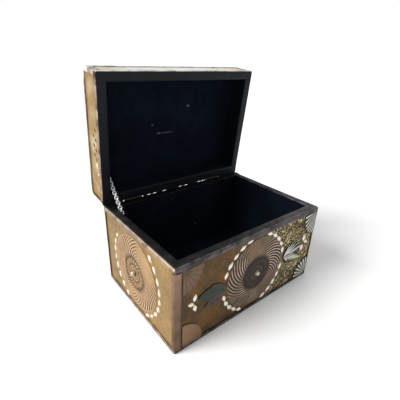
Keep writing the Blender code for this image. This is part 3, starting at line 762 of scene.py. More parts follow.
@dataclass(frozen=True)
class Plan:
    """The box's plan and heights, in metres, with the lid shut."""

    length: float = 0.200
    depth: float = 0.136
    body_height: float = 0.0945
    lid_rim: float = 0.0951
    lid_top: float = 0.1281
    trim: float = 0.0009
    sheet_face: float = 0.0012
    sheet_back: float = 0.0018
    laid_on: float = 0.0009
    gap: float = 0.0003
    long_half: float = 0.0988
    short_half: float = 0.0659
    sheet_low: float = 0.0005
    sheet_high: float = 0.0921
    lining_drop: float = 0.0012
    box_floor: float = 0.0073
    lid_ceiling: float = 0.1281 - 0.0084
    lining_face: float = 0.0090
    lining_inner: float = 0.0098
    field_low: float = 0.0035
    field_high: float = 0.0895
    rim_flange: float = 0.0050
    rim_radius: float = 0.0024
    lid_rim_radius: float = 0.0010
    back_radius: float = 0.0003
    edge_flange: float = 0.0050
    edge_radius: float = 0.0040
    corner_radius: float = 0.0016

    def face(self, side: str) -> Face:
        """Return a side's face; "top" is the shut lid's top."""
        x, y = self.length / 2, self.depth / 2
        faces = {
            "front": Face((0, -y, 0), (1, 0, 0), (0, 0, 1)),
            "back": Face((0, y, 0), (-1, 0, 0), (0, 0, 1)),
            "left": Face((-x, 0, 0), (0, -1, 0), (0, 0, 1)),
            "right": Face((x, 0, 0), (0, 1, 0), (0, 0, 1)),
            "top": Face((0, 0, self.lid_top), (1, 0, 0), (0, 1, 0)),
        }
        return faces[side]

    def loop(self, inset: float, radius: float, step: float) -> Array:
        """Return points round the plan at an inset, the same number for each inset.

        Args:
            inset: the distance in from the outer plane.
            radius: the outer plane's corner radius.
            step: the rough distance between points.

        Returns:
            The points' x and y.
        """
        x, y = self.length / 2 - inset, self.depth / 2 - inset
        r = max(radius - inset, 0.00005)
        spans = [max(2, round(v / step)) for v in (self.length, self.depth)]
        arcs = []
        for x_side, y_side, start in ((1, -1, -90.0), (1, 1, 0.0), (-1, 1, 90.0), (-1, -1, 180.0)):
            turns = np.radians(start + np.linspace(0.0, 90.0, 7))
            centre = np.array([x_side * (x - r), y_side * (y - r)])
            arcs.append(centre + r * np.stack([np.cos(turns), np.sin(turns)], -1))
        rows = []
        for i, arc in enumerate(arcs):
            following = arcs[(i + 1) % 4][0]
            shares = np.linspace(0.0, 1.0, spans[(i + 1) % 2] + 1)[1:-1, None]
            rows += [arc, arc[-1] * (1 - shares) + following * shares]
        return np.concatenate(rows)

    def carry(self, profile: list[tuple[float, float]], radius: float, step: float) -> Array:
        """Carry a profile round the plan.

        Args:
            profile: insets and heights.
            radius: the outer plane's corner radius.
            step: the rough distance between points.

        Returns:
            The points, a loop for each point of the profile.
        """
        rows = []
        for inset, height in profile:
            plan = self.loop(inset, radius, step)
            rows.append(np.column_stack([plan, np.full(len(plan), height)]))
        return np.array(rows)


PLAN = Plan()
HINGE_MIDDLES = (-0.064, 0.054)
MEDALLION_RADIUS = 0.0405
WIDE_LEG = 0.0085
NARROW_LEG = 0.0025

# The ground's mean height, and how crisp it is where it is rubbed
MEAN_RIDGE = 0.42
HALF_RUBBED = 0.45
WORN = 0.12


# Ornament


@dataclass(frozen=True)
class WormGround:
    """A ground of close curling ridges, chased between the ornaments."""

    seed: int
    pitch: float = 0.0060
    spread: float = 0.30

    def over(self, across: Array, above: Array) -> Array:
        """Return the ridges' height, 0 to 1, over an even grid.

        Args:
            across: the columns' places.
            above: the rows' places.

        Returns:
            The heights, rows by columns.
        """
        shape = (len(above), len(across))
        chance = np.random.default_rng(self.seed)
        field_now = chance.standard_normal(shape)
        rows = np.fft.fftfreq(shape[0], above[1] - above[0])[:, None]
        columns = np.fft.fftfreq(shape[1], across[1] - across[0])[None, :]
        pace = np.hypot(rows, columns) * self.pitch
        band = np.exp(-(((pace - 1.0) / self.spread) ** 2))
        ridges = np.fft.ifft2(np.fft.fft2(field_now) * band).real
        strokes = 1.0 - np.abs(ridges) / ridges.std() / 1.1
        return smooth_step(strokes, 0.0, 1.0)


@dataclass(frozen=True)
class RoundPlace:
    """A round or oval place on a face: its middle and half sizes."""

    across: float
    above: float
    wide: float = MEDALLION_RADIUS
    tall: float = MEDALLION_RADIUS
    band: float = 0.0
    groove: float = 0.8

    def distance(self, across: Array, above: Array) -> Array:
        """Return how far points lie outside the place, in metres, less than 0 inside."""
        share = np.hypot((across - self.across) / self.wide, (above - self.above) / self.tall)
        return (share - 1.0) * min(self.wide, self.tall)


@dataclass
class EmbossedSheet:
    """One side's sheet, with its chased ground. Its tone and crispness may vary with the place."""

    side: str
    seed: int
    finish: Finishes
    body: str = "box"
    step: float = 0.0005
    half_width: float = PLAN.long_half
    low: float = PLAN.sheet_low
    high: float = PLAN.sheet_high
    height: float = 0.0004
    flats: list[RoundPlace] = field(default_factory=list)
    slots: list[tuple[float, float]] = field(default_factory=list)
    slot_half: tuple[float, float] = (0.0023, 0.0015)
    slot_tilt: float = math.radians(50.0)
    slot_sink: float = 0.00055
    pitch: float = 0.0060
    tone: Any = 0.5
    crisp: Any = 1.0

    def build(self) -> None:
        """Build the sheet."""
        across = np.linspace(-self.half_width, self.half_width, round(2 * self.half_width / self.step) + 1)
        above = np.linspace(self.low, self.high, max(6, round((self.high - self.low) / self.step)) + 1)
        a, b = np.meshgrid(across, above)
        ridges = WormGround(self.seed, self.pitch).over(across, above)
        ridges = MEAN_RIDGE + (ridges - MEAN_RIDGE) * over(self.crisp, a, b)
        calm = np.ones_like(a)
        groove = np.zeros_like(a)
        rise = np.zeros_like(a)
        for flat in self.flats:
            outside = flat.distance(a, b)
            calm *= smooth_step(outside, flat.band, flat.band + 0.0008)
            groove += flat.groove * np.exp(-(((outside - 0.0003) / 0.0004) ** 2))
            lift = 0.0002 if flat.band else 0.0001
            rise = np.maximum(rise, lift * (1 - smooth_step(outside, 0.0004, 0.0012)))
        flatness = 0.46 + 0.10 * Unevenness(self.seed, 0.010).on(a, b)
        relief = between(flatness, ridges, calm) - np.clip(groove, 0, 1)
        outward = self.height * (relief - 0.4) + rise
        for place in self.slots:
            pit = self.slot_depth(a, b, place)
            relief = between(relief, -1.6, pit)
            outward = between(outward, -self.slot_sink, pit)
        face = PLAN.face(self.side)
        outward = np.maximum(outward, PLAN.sheet_face - PLAN.sheet_back + 0.00004)
        front = face.at(a, b, outward - PLAN.sheet_face)
        back = face.at(a, b, -PLAN.sheet_back)
        shell = Shell()
        shell.sheet(front, back, relief, over(self.tone, a, b))
        shell.make(f"{self.body}_{self.side}_panel", self.finish, self.body, 60.0)

    def slot_depth(self, a: Array, b: Array, place: tuple[float, float]) -> Array:
        """Return 1 inside a slanted punched slot and 0 outside.

        Args:
            a: the points' places across.
            b: the points' places above.
            place: the slot's middle.

        Returns:
            The mask.
        """
        c, s = math.cos(self.slot_tilt), math.sin(self.slot_tilt)
        u = (a - place[0]) * c + (b - place[1]) * s
        v = -(a - place[0]) * s + (b - place[1]) * c
        share = np.hypot(u / self.slot_half[0], v / self.slot_half[1])
        return 1.0 - smooth_step(share, 0.8, 1.1)


@dataclass
class OvalSet:
    """The pointed ovals of white metal on one face."""

    name: str
    side: str
    places: list[tuple[float, float, float]]
    body: str = "box"
    long: float = 0.0092
    wide: float = 0.0052
    proud: float = 0.0011
    tone: float = 0.1

    def build(self) -> None:
        """Build the ovals as one piece."""
        shell = Shell()
        face = PLAN.face(self.side)
        chance = np.random.default_rng(len(self.places))
        u, v = np.meshgrid(np.linspace(-0.985, 0.985, 15), np.linspace(-1, 1, 9), indexing="ij")
        outline = (1 - np.abs(u) ** 1.5) ** 0.95
        height = self.proud * (1 - np.abs(v) ** 1.7) * (1 - np.abs(u) ** 2.6)
        relief = 0.25 + 0.8 * (height / self.proud) ** 0.6
        for across, above, turn in self.places:
            size = chance.uniform(0.9, 1.05)
            turn += chance.normal(0, 0.05)
            along = u * self.long / 2 * size
            beside = v * outline * self.wide / 2 * size
            a = across + along * math.cos(turn) - beside * math.sin(turn)
            b = above + along * math.sin(turn) + beside * math.cos(turn)
            front = face.at(a, b, height - PLAN.sheet_face)
            back = face.at(a, b, -PLAN.sheet_face - 0.0004)
            shell.sheet(front, back, relief, self.tone)
        shell.make(self.name, Finishes.WHITE_METAL, self.body, 70.0, [])


@dataclass
class Medallion:
    """A copper disc of curved flutes round a small rosette, with a domed nail through it."""

    prefix: str
    side: str
    across: float
    above: float
    flutes: int = 40
    body: str = "box"
    radius: float = MEDALLION_RADIUS
    rosette: float = 0.0175
    hub: float = 0.0094
    twist: float = 0.60
    curl: float = 0.22
    petals: int = 22
    edge: float = 0.0002
    crown: float = 0.0017
    shoulder: float = 0.0012
    depth: float = 0.00062
    floor: float = 0.0010
    petal_rise: float = 0.0006
    ring_rise: float = 0.00028
    ring_pitch: float = 0.0031
    scallop: float = 0.0009
    finish: Finishes = Finishes.SIDE_COPPER
    shade: float = 0.8
    soft: float = 0.0
    worn_at: float = 1.65
    worn_places: tuple[tuple[float, float, float], ...] = (
        (0.0, 0.85, 0.50),
        (-2.45, 0.55, 0.45),
        (1.65, 0.30, 0.60),
        (2.4, 0.42, 0.45),
    )

    def build(self) -> None:
        """Build the disc and its nail."""
        radii = np.concatenate(
            [
                np.linspace(0.0002, self.hub, 16),
                np.linspace(self.hub, self.rosette, 15)[1:],
                np.linspace(self.rosette, self.radius, 36)[1:],
            ]
        )
        r, turn = np.meshgrid(radii, circle(self.flutes * 8), indexing="ij")
        turn = turn - self.swirl(r)
        height, relief = self.form(r, turn)
        face = PLAN.face(self.side)
        a = self.across + r * np.cos(turn)
        b = self.above + r * np.sin(turn)
        uneven = Unevenness(7, 0.014).on(a, b)
        rings = face.at(a, b, height + 0.00008 * uneven - PLAN.laid_on)
        base = face.at(a[-1], b[-1], -PLAN.laid_on)
        inner = (1 - self.soft) * (1 - smooth_step(r, self.rosette, self.rosette * 1.2))
        shell = Shell()
        shell.disc(rings, base, relief, self.shade - 0.42 * inner + 0.1 * uneven)
        shell.make(f"{self.prefix}_medallion", self.finish, self.body, 75.0)
        self.nail(face)

    def swirl(self, r: Array) -> Array:
        """Return how far a flute has turned at each distance from the middle."""
        share = np.clip((r - self.rosette) / (self.radius - self.rosette), 0.0, 1.0)
        return self.twist * share + self.curl * share * share

    def form(self, r: Array, turn: Array) -> tuple[Array, Array]:
        """Work out the disc's surface.

        Args:
            r: the points' distances from its middle.
            turn: their directions.

        Returns:
            The heights above its base, and how high each point stands in its own relief, 0 to 1.
        """
        share = (r - self.rosette) / (self.radius - self.rosette)
        inside = np.clip(share, 0, 1)
        dome = self.shoulder + (self.crown - self.shoulder) * np.sin(inside * math.pi) ** 0.8
        dome += (self.edge + 0.0001 - self.shoulder) * inside ** 3
        spiral = self.flutes * (turn + self.swirl(r))
        ridge = (0.5 + 0.5 * np.cos(spiral)) ** 2.0
        swell = smooth_step(share, 0.0, 0.2) * (1 - smooth_step(share, 0.93, 1.0))
        worn = self.wear(r, turn) * smooth_step(share, -0.1, 0.25)
        flute = self.depth * swell * (0.55 + 0.45 * inside) * (1 - 0.6 * worn)
        outer = dome - flute * (1 - ridge)
        outer_relief = (0.02 + 0.98 * ridge * (0.35 + 0.65 * swell)) * (1 - worn) + 0.52 * worn
        rim = smooth_step(share, 0.93, 0.97)
        outer_relief = between(outer_relief, 0.5, rim)
        inner_share = (r - self.hub) / (self.rosette - self.hub)
        petal = np.abs(np.cos(self.petals / 2 * turn + 2.2 * inner_share)) ** 0.7
        bow = np.sin(np.clip(inner_share, 0, 1) * math.pi)
        rosette = self.floor + self.petal_rise * petal * bow - 0.00025 * (1 - bow)
        rosette_relief = -0.42 + 0.82 * petal * bow ** 0.8
        rings = np.abs(np.sin(math.pi * r / self.ring_pitch))
        hub = self.floor + self.ring_rise * rings
        hub_relief = -0.38 + 0.85 * rings
        scallop = self.scallop * np.cos(self.petals * turn)
        out = smooth_step(r + scallop, self.rosette - 0.0004, self.rosette + 0.0004)
        mid = smooth_step(r, self.hub - 0.0004, self.hub + 0.0004)
        height = between(between(hub, rosette, mid), outer, out)
        inner_relief = between(between(hub_relief, rosette_relief, mid), 0.6, self.soft)
        return height, between(inner_relief, outer_relief, out)

    def wear(self, r: Array, turn: Array) -> Array:
        """Work out how far the flutes are rubbed away.

        Args:
            r: the points' distances from the disc's middle.
            turn: their directions.

        Returns:
            0 where they are crisp, 1 where they are gone.
        """
        worn = np.zeros_like(r)
        for offset, strength, reach in self.worn_places:
            away = np.abs((turn - self.worn_at - offset + math.pi) % (2 * math.pi) - math.pi)
            worn = np.maximum(worn, strength * (1 - smooth_step(away, reach - 0.25, reach + 0.45)))
        uneven = Unevenness(29, 0.016).on(r * np.cos(turn), r * np.sin(turn))
        return np.clip(worn + 0.22 * uneven, 0.0, 0.95)

    def nail(self, face: Face) -> None:
        """Build the domed nail.

        Args:
            face: the face that the disc lies on.
        """
        profile = [(0.0026, 0.0), (0.0031, 0.0002), (0.0033, 0.0006), (0.0030, 0.0010), (0.0027, 0.0012)]
        lifts = np.radians([4.0, 20.0, 38.0, 56.0, 72.0, 84.0])
        profile += [(0.0027 * math.cos(t), 0.0012 + 0.0026 * math.sin(t)) for t in lifts]
        turns = circle(32)
        rows = []
        relief = []
        for radius, lift in profile:
            a = self.across + radius * np.cos(turns)
            b = self.above + radius * np.sin(turns)
            rows.append(face.at(a, b, lift + 0.0013 - PLAN.laid_on))
            relief.append(np.full(32, 0.2 + 0.75 * smooth_step(np.float64(lift), 0.0004, 0.0036)))
        shell = Shell()
        shell.tube(np.array(rows), np.array(relief), 0.6)
        shell.make(f"{self.prefix}_knob", Finishes.KNOB_BRASS, self.body, 50.0)


@dataclass
class Blade:
    """One lobe of a leaf: its direction in degrees, sizes, ribs, tone and lift."""

    direction: float
    length: float
    wide: float
    ribs: int
    tone: float
    lift: float = 0.0
    blunt: float = 0.9


@dataclass
class Leaf:
    """A leaf of white metal that springs from the side of a medallion."""

    name: str
    side: str
    across: float
    above: float
    facing: float
    blades: list[Blade]
    body: str = "box"
    finish: Finishes = Finishes.LEAF_METAL
    faded: float = 0.0

    def build(self) -> None:
        """Build the leaf from its lobes."""
        shell = Shell()
        face = PLAN.face(self.side)
        for blade in self.blades:
            u, v = np.meshgrid(np.linspace(0.0, 1.0, 40), np.linspace(-1, 1, 33), indexing="ij")
            swell = np.sin(math.pi * np.clip(0.03 + 0.955 * u ** 0.8, 0, 1)) ** blade.blunt
            along = blade.length * u
            beside = v * swell * blade.wide / 2
            rib = 0.5 + 0.5 * np.cos(math.pi * blade.ribs * v)
            spine = np.exp(-((v / 0.07) ** 2))
            body = (1 - np.abs(v) ** 3) * np.sin(math.pi * np.clip(0.06 + 0.9 * u, 0, 1)) ** 0.5
            height = blade.lift + 0.0004 + body * (0.0005 + 0.0004 * np.maximum(rib, spine))
            direction = math.radians(blade.direction)
            c, s = math.cos(direction) * self.facing, math.sin(direction)
            a = self.across + along * c - beside * s
            b = self.above + along * s + beside * c
            edge = smooth_step(1 - np.abs(v), 0.0, 0.16) * smooth_step(1 - u, 0.0, 0.08)
            relief = (0.12 + 0.88 * np.maximum(rib, spine)) * edge - 0.1 * (1 - edge)
            relief = between(relief, 0.5, self.faded)
            shell.laid(face, a, b, height, relief, blade.tone)
        shell.make(self.name, self.finish, self.body, 60.0)


@dataclass
class QuarterFan:
    """A quarter fan in a corner of the front, ribbed or plain."""

    name: str
    across: float
    above: float
    middle: float
    wide: float
    tall: float
    ribs: int
    finish: Finishes
    tone: float = 0.3
    faded: float = 0.0

    def build(self) -> None:
        """Build the fan."""
        turns = np.radians(self.middle + np.linspace(-45.0, 45.0, 81))
        shares = np.concatenate([np.linspace(0.03, 0.9, 26), np.linspace(0.9, 1.0, 6)[1:]])
        share, turn = np.meshgrid(shares, turns, indexing="ij")
        sweep = (turn - turns[0]) / (turns[-1] - turns[0])
        rib = np.abs(np.sin(math.pi * self.ribs * sweep)) if self.ribs else 0.6 + 0 * sweep
        reach = share * (1 - (0.06 * (1 - rib) if self.ribs else 0.0))
        a = self.across + self.wide * reach * np.cos(turn)
        b = self.above + self.tall * reach * np.sin(turn)
        rise = smooth_step(share, 0.0, 0.3) * (1 - 0.8 * smooth_step(share, 0.9, 1.0))
        height = 0.0003 + rise * (0.0003 + 0.0006 * rib)
        edge = 1 - smooth_step(share, 0.93, 1.0)
        relief = (0.95 * rib ** 2.2) * edge - 0.1 * (1 - edge)
        relief = between(relief, 0.5, self.faded)
        shell = Shell()
        shell.laid(PLAN.face("front"), a, b, height, relief, self.tone)
        shell.make(self.name, self.finish, "box", 60.0)


# Strips


@dataclass
class RoundStrip:
    """A strip of metal bent over an edge, all round the box, with small dents.

    shade is its tone, or a function of its points and of which of them lie on the flange.
    """

    name: str
    profile: list[tuple[float, float]]
    finish: Finishes
    body: str = "box"
    step: float = 0.0018
    corner: float = 0.0016
    dent: float = 0.00009
    lustre: float = 0.42
    seed: int = 3
    bright: tuple[int, ...] = ()
    shade: Any = 0.4
    back_profile: list[tuple[float, float]] | None = None
    roll: Callable[[Array], Array] | None = None

    def build(self) -> None:
        """Build the strip."""
        rows = PLAN.carry(self.profile, self.corner, self.step)
        if self.back_profile:
            back = smooth_step(rows[..., 1:2], 0.058, 0.065)
            rows = between(rows, PLAN.carry(self.back_profile, self.corner, self.step), back)
        if self.roll:
            rows[..., 1] += self.roll(rows)
        middle = rows.mean(axis=1, keepdims=True)
        uneven = Unevenness(self.seed, 0.013).at(rows) + 0.5 * Unevenness(self.seed + 1, 0.0045).at(rows)
        inward = unit(-rows * np.array([1.0, 1.0, 0.0]))
        toward = inward * 0.6 + np.sign(middle.mean(axis=0)[0][2] - rows[..., 2:]) * np.array([0, 0, 0.6])
        rows = rows + toward * (self.dent * 0.5 * (1 + np.clip(uneven, -1, 1)))[..., None]
        relief = np.full(rows.shape[:2], self.lustre)
        for place in self.bright:
            relief[place] = 0.85
        relief = relief + 0.07 * uneven
        flange = np.array([[inset < 0.0006] for inset, _ in self.profile], float)
        shell = Shell()
        shell.tube(rows, relief, over(self.shade, rows, flange) + 0.08 * uneven, True, True)
        shell.make(self.name, self.finish, self.body, 50.0)


def angle_profile(
    edge: float, inward: int, plate: float, flange: float, radius: float
) -> list[tuple[float, float]]:
    """Work out the profile of an angle strip: a flange down the side and a plate over the edge.

    Args:
        edge: the height of the plate's outer plane.
        inward: the direction in height from the plate to the flange.
        plate: the inset where the plate ends.
        flange: how far the flange reaches.
        radius: the radius of the bend.

    Returns:
        Insets and heights, as a closed loop.
    """
    turns = np.radians(np.linspace(0.0, 90.0, 7))
    outer = [(radius * (1 - math.cos(t)), edge + inward * radius * (1 - math.sin(t))) for t in turns]
    thin = max(radius - PLAN.trim, 0.00002)
    bend = [(radius - thin * math.cos(t), radius - thin * math.sin(t)) for t in turns[::-1]]
    inner = [(inset, edge + inward * drop) for inset, drop in bend]
    start = [(0.00025, edge + inward * flange), (0.0, edge + inward * (flange - 0.0003))]
    middle = [(0.0, edge + inward * (radius + (flange - radius) * 0.4))]
    flat = [(radius + (plate - radius) * s, edge) for s in (0.33, 0.66)]
    far = [(plate - 0.0002, edge), (plate, edge + inward * 0.0002), (plate, edge + inward * PLAN.trim)]
    return start + middle + outer + flat + far + inner + [(PLAN.trim, edge + inward * flange)]


def behind(rows: Array, near: Array) -> Array:
    """Work out where a rim's back edge may be rolled outward.

    Args:
        rows: the rim's points.
        near: 1 for the points near the edge, 0 for the others.

    Returns:
        1 along the back's edge, 0 at the hinges and elsewhere.
    """
    share = near * smooth_step(rows[..., 1], 0.0600, 0.0668)
    for middle in HINGE_MIDDLES:
        share = share * smooth_step(np.abs(rows[..., 0] - middle), 0.0114, 0.0126)
    return share


@dataclass
class CornerStrip:
    """An angle strip over an upright edge, round-backed where it is wide."""

    name: str
    x_side: int
    y_side: int
    long_leg: float
    short_leg: float
    low: float
    high: float
    body: str = "box"
    tone: float = 0.5
    wide_from: float = 0.006
    crown: float = 0.00065
    crown_end: float = 0.82
    groove: float = 0.00045
    groove_start: float = 0.85

    def leg(self, reach: float) -> list[tuple[float, float, float]]:
        """Work out the outer face along one leg.

        Args:
            reach: how far the leg reaches.

        Returns:
            Distances along and out, and the relief.
        """
        radius = PLAN.corner_radius
        wide = reach > self.wide_from
        points = []
        for share in np.linspace(0.0, 1.0, 11)[1:]:
            crowned = wide and share < self.crown_end
            swell = math.sin(math.pi * share / self.crown_end) if crowned else 0.0
            along = radius + (reach - radius) * share
            if wide and share >= self.groove_start:
                points.append((along, self.groove, 0.0))
            else:
                points.append((along, -self.crown * swell, 0.42 + 0.25 * swell))
        return points

    def build(self) -> None:
        """Build the strip."""
        radius = PLAN.corner_radius
        profile = [(out, along, relief) for along, out, relief in reversed(self.leg(self.short_leg))]
        for t in np.radians(np.linspace(0.0, 90.0, 7)):
            profile.append((radius * (1 - math.cos(t)), radius * (1 - math.sin(t)), 0.52))
        profile += self.leg(self.long_leg)
        trim = PLAN.trim
        profile += [(self.long_leg, trim, 0.0), (trim, trim, 0.0), (trim, self.short_leg, 0.0)]
        heights = np.linspace(self.low, self.high, max(8, round((self.high - self.low) / 0.0022)))
        rows = []
        for height in heights:
            plan = [
                (self.x_side * (PLAN.length / 2 - x_in), self.y_side * (PLAN.depth / 2 - y_in), height)
                for x_in, y_in, _ in profile
            ]
            rows.append(plan)
        rows = np.array(rows)
        uneven = Unevenness(11 + self.x_side + 2 * self.y_side, 0.016).at(rows)
        shrink = np.array([-self.x_side, -self.y_side, 0.0])
        rows = rows + shrink * (0.00008 * (1 + np.clip(uneven, -1, 1)))[..., None]
        relief = np.array([p[2] for p in profile])[None, :] + 0.05 * uneven
        lift = smooth_step(rows[..., 2], self.low + 0.3 * (self.high - self.low), self.high)
        shell = Shell()
        shell.tube(rows, relief, self.tone + 0.40 * lift + 0.06 * uneven)
        shell.make(self.name, Finishes.STRIP_COPPER, self.body, 45.0)


# Lining


@dataclass
class FeltLining:
    """The black lining of the box or the lid: walls and floor, soft in its corners."""

    name: str
    open_height: float
    floor: float
    finish: Finishes
    body: str = "box"
    seed: int = 5
    thick: float = 0.0008
    radius: float = 0.0016
    nap: float = 0.00022

    def build(self) -> None:
        """Build the lining."""
        face, inner = PLAN.lining_face, PLAN.lining_inner
        up = 1 if self.open_height > self.floor else -1
        low, radius = self.floor, self.radius
        inside = low + up * self.thick
        profile = [(face, low), (face, self.open_height), (inner, self.open_height)]
        walls = len(profile)
        for share in np.linspace(0.0, 1.0, 26)[1:]:
            profile.append((inner, self.open_height + (inside + up * radius - self.open_height) * share))
        bend = len(profile)
        for turn in np.radians(np.linspace(0.0, 90.0, 6)[1:]):
            corner = inside + up * radius * (1 - math.sin(turn))
            profile.append((inner + radius * (1 - math.cos(turn)), corner))
        ground = len(profile)
        profile += [(inner + s, inside) for s in (0.005, 0.009, 0.014, 0.020, 0.028, 0.037, 0.046)]
        rows = PLAN.carry(profile, 0.0020, 0.005)
        rise = self.nap * (0.6 + 0.4 * Unevenness(self.seed, 0.030).at(rows))
        inward = unit(-rows * np.array([1.0, 1.0, 0.0]))
        rows[walls:bend] += (inward * rise[..., None])[walls:bend]
        rows[ground:-1, :, 2] += up * rise[ground:-1]
        shell = Shell()
        shell.tube(rows, 0.5)
        shell.make(self.name, self.finish, self.body, 50.0)


# Hinges and chain


@dataclass
class Wire:
    """Round wire along a loop or a run of points."""

    radius: float
    sides: int = 10

    def loop(self, shell: Shell, points: Array, normal: Array) -> None:
        """Add a closed loop of wire.

        Args:
            shell: what it is added to.
            points: the points along its middle, in one plane.
            normal: the plane's normal.
        """
        ahead = unit(np.roll(points, -1, axis=0) - np.roll(points, 1, axis=0))
        outward = np.cross(ahead, normal)
        turns = circle(self.sides)
        ring = np.cos(turns)[None, :, None] * outward[:, None, :] + np.sin(turns)[None, :, None] * normal
        rows = points[:, None, :] + self.radius * ring
        shade = 0.6 + 0.25 * np.cos(turns)[None, :]
        shell.tube(rows, np.broadcast_to(shade, rows.shape[:2]), 0.4, True, True)

    def rod(self, shell: Shell, start: Array, end: Array) -> None:
        """Add a straight rod between two points."""
        along = unit(end - start)
        side = unit(np.cross(along, [0.0, 0.3, 1.0]))
        other = np.cross(along, side)
        turns = circle(self.sides)
        ring = np.cos(turns)[:, None] * side + np.sin(turns)[:, None] * other
        shares = np.linspace(0.0, 1.0, 3)[:, None, None]
        rows = start + (end - start) * shares + self.radius * ring[None]
        shell.tube(rows, 0.5, 0.4)


@dataclass
class Hinge:
    """A butt hinge let into the rims: two plates with knuckles and screws."""

    word: str
    middle: float
    width: float = 0.0220
    deep: float = 0.0080
    leaf: float = 0.0006
    knuckle: float = 0.0018
    gap: float = 0.0003
    pin: float = 0.0008

    def build(self) -> None:
        """Build both plates."""
        third = (self.width - 2 * self.gap) / 3
        half = self.width / 2
        outer = [(-half, -half + third), (half - third, half)]
        inner = [(-half + third + self.gap, half - third - self.gap)]
        self.plate("box", -1, outer)
        self.plate("lid", 1, inner)

    def plate(self, body: str, up_side: int, knuckles: list[tuple[float, float]]) -> None:
        """Build one plate.

        Args:
            body: the body that it is screwed to.
            up_side: 1 for the lid's plate, -1 for the box's.
            knuckles: where its knuckles lie along it.
        """
        shell = Shell()
        rim = PLAN.lid_rim if up_side > 0 else PLAN.body_height
        near = rim + up_side * (PLAN.trim - self.leaf) / 2
        far = near + up_side * self.leaf
        front = PLAN.depth / 2 - self.deep
        axis_y, axis_z = Hang.axis[1], Hang.axis[2]
        notch = axis_y - self.knuckle - self.gap
        spans = [(-self.width / 2, self.width / 2, front, notch)]
        spans += [(start, end, notch, axis_y - 0.0011) for start, end in knuckles]
        for start, end, y0, y1 in spans:
            self.slab(shell, (start, end), (y0, y1), near, far)
        turns = circle(28)
        for start, end in knuckles:
            eased, full = 0.85 * self.knuckle, self.knuckle
            profile = [(start, eased), (start + 0.0002, full), (end - 0.0002, full), (end, eased)]
            rows = []
            for x, r in profile + [(end, self.pin), (start, self.pin)]:
                row = [(self.middle + x, axis_y + r * math.cos(t), axis_z + r * math.sin(t)) for t in turns]
                rows.append(row)
            shell.tube(np.array(rows), 0.6, 0.5, True, True)
        for x in (-0.0068, 0.0068):
            self.screw(shell, self.middle + x, front + 0.0032, near, up_side)
        shell.make(f"{body}_hinge_leaf_{self.word}", Finishes.HINGE_BRASS, body, 35.0)

    def slab(
        self, shell: Shell, xs: tuple[float, float], ys: tuple[float, float], near: float, far: float
    ) -> None:
        """Add a plate with eased edges.

        Args:
            shell: what it is added to.
            xs: where it starts and ends along the hinge.
            ys: its front and back.
            near: the height of its outer face.
            far: the height of its inner face.
        """
        ease = 0.00012
        rows = []
        for height, inset in ((far, 0.0), (near + (far - near) * 0.25, 0.0), (near, ease)):
            x0, x1 = self.middle + xs[0] + inset, self.middle + xs[1] - inset
            y0, y1 = ys[0] + inset, ys[1]
            rows.append([(x0, y0, height), (x1, y0, height), (x1, y1, height), (x0, y1, height)])
        relief = np.array([[0.1] * 4, [0.7] * 4, [0.5] * 4])
        shell.tube(np.array(rows), relief, 0.4)

    def screw(self, shell: Shell, x: float, y: float, face: float, up_side: int) -> None:
        """Add a slotted screw head, a little sunk.

        Args:
            shell: what it is added to.
            x: its place along the hinge.
            y: its place across the plate.
            face: the height of the plate's outer face.
            up_side: 1 for the lid's plate, -1 for the box's.
        """
        out = -up_side
        radii = np.array([0.0001, 0.0006, 0.0011, 0.0014, 0.0016])
        lifts = np.array([0.00014, 0.00013, 0.00010, 0.00004, -0.0001])
        r, turn = np.meshgrid(radii, circle(24), indexing="ij")
        lift = np.broadcast_to(lifts[:, None], r.shape).copy()
        slot = np.abs(r * np.sin(turn - 0.6)) < 0.00022
        lift[slot] -= 0.00022
        relief = np.where(slot, -0.2, 0.75)
        points = np.stack([x + r * np.cos(turn), y + r * np.sin(turn), face + out * lift], -1)
        base = points[-1].copy()
        base[:, 2] = face - out * 0.0003
        shell.disc(points, base, relief, 0.8)


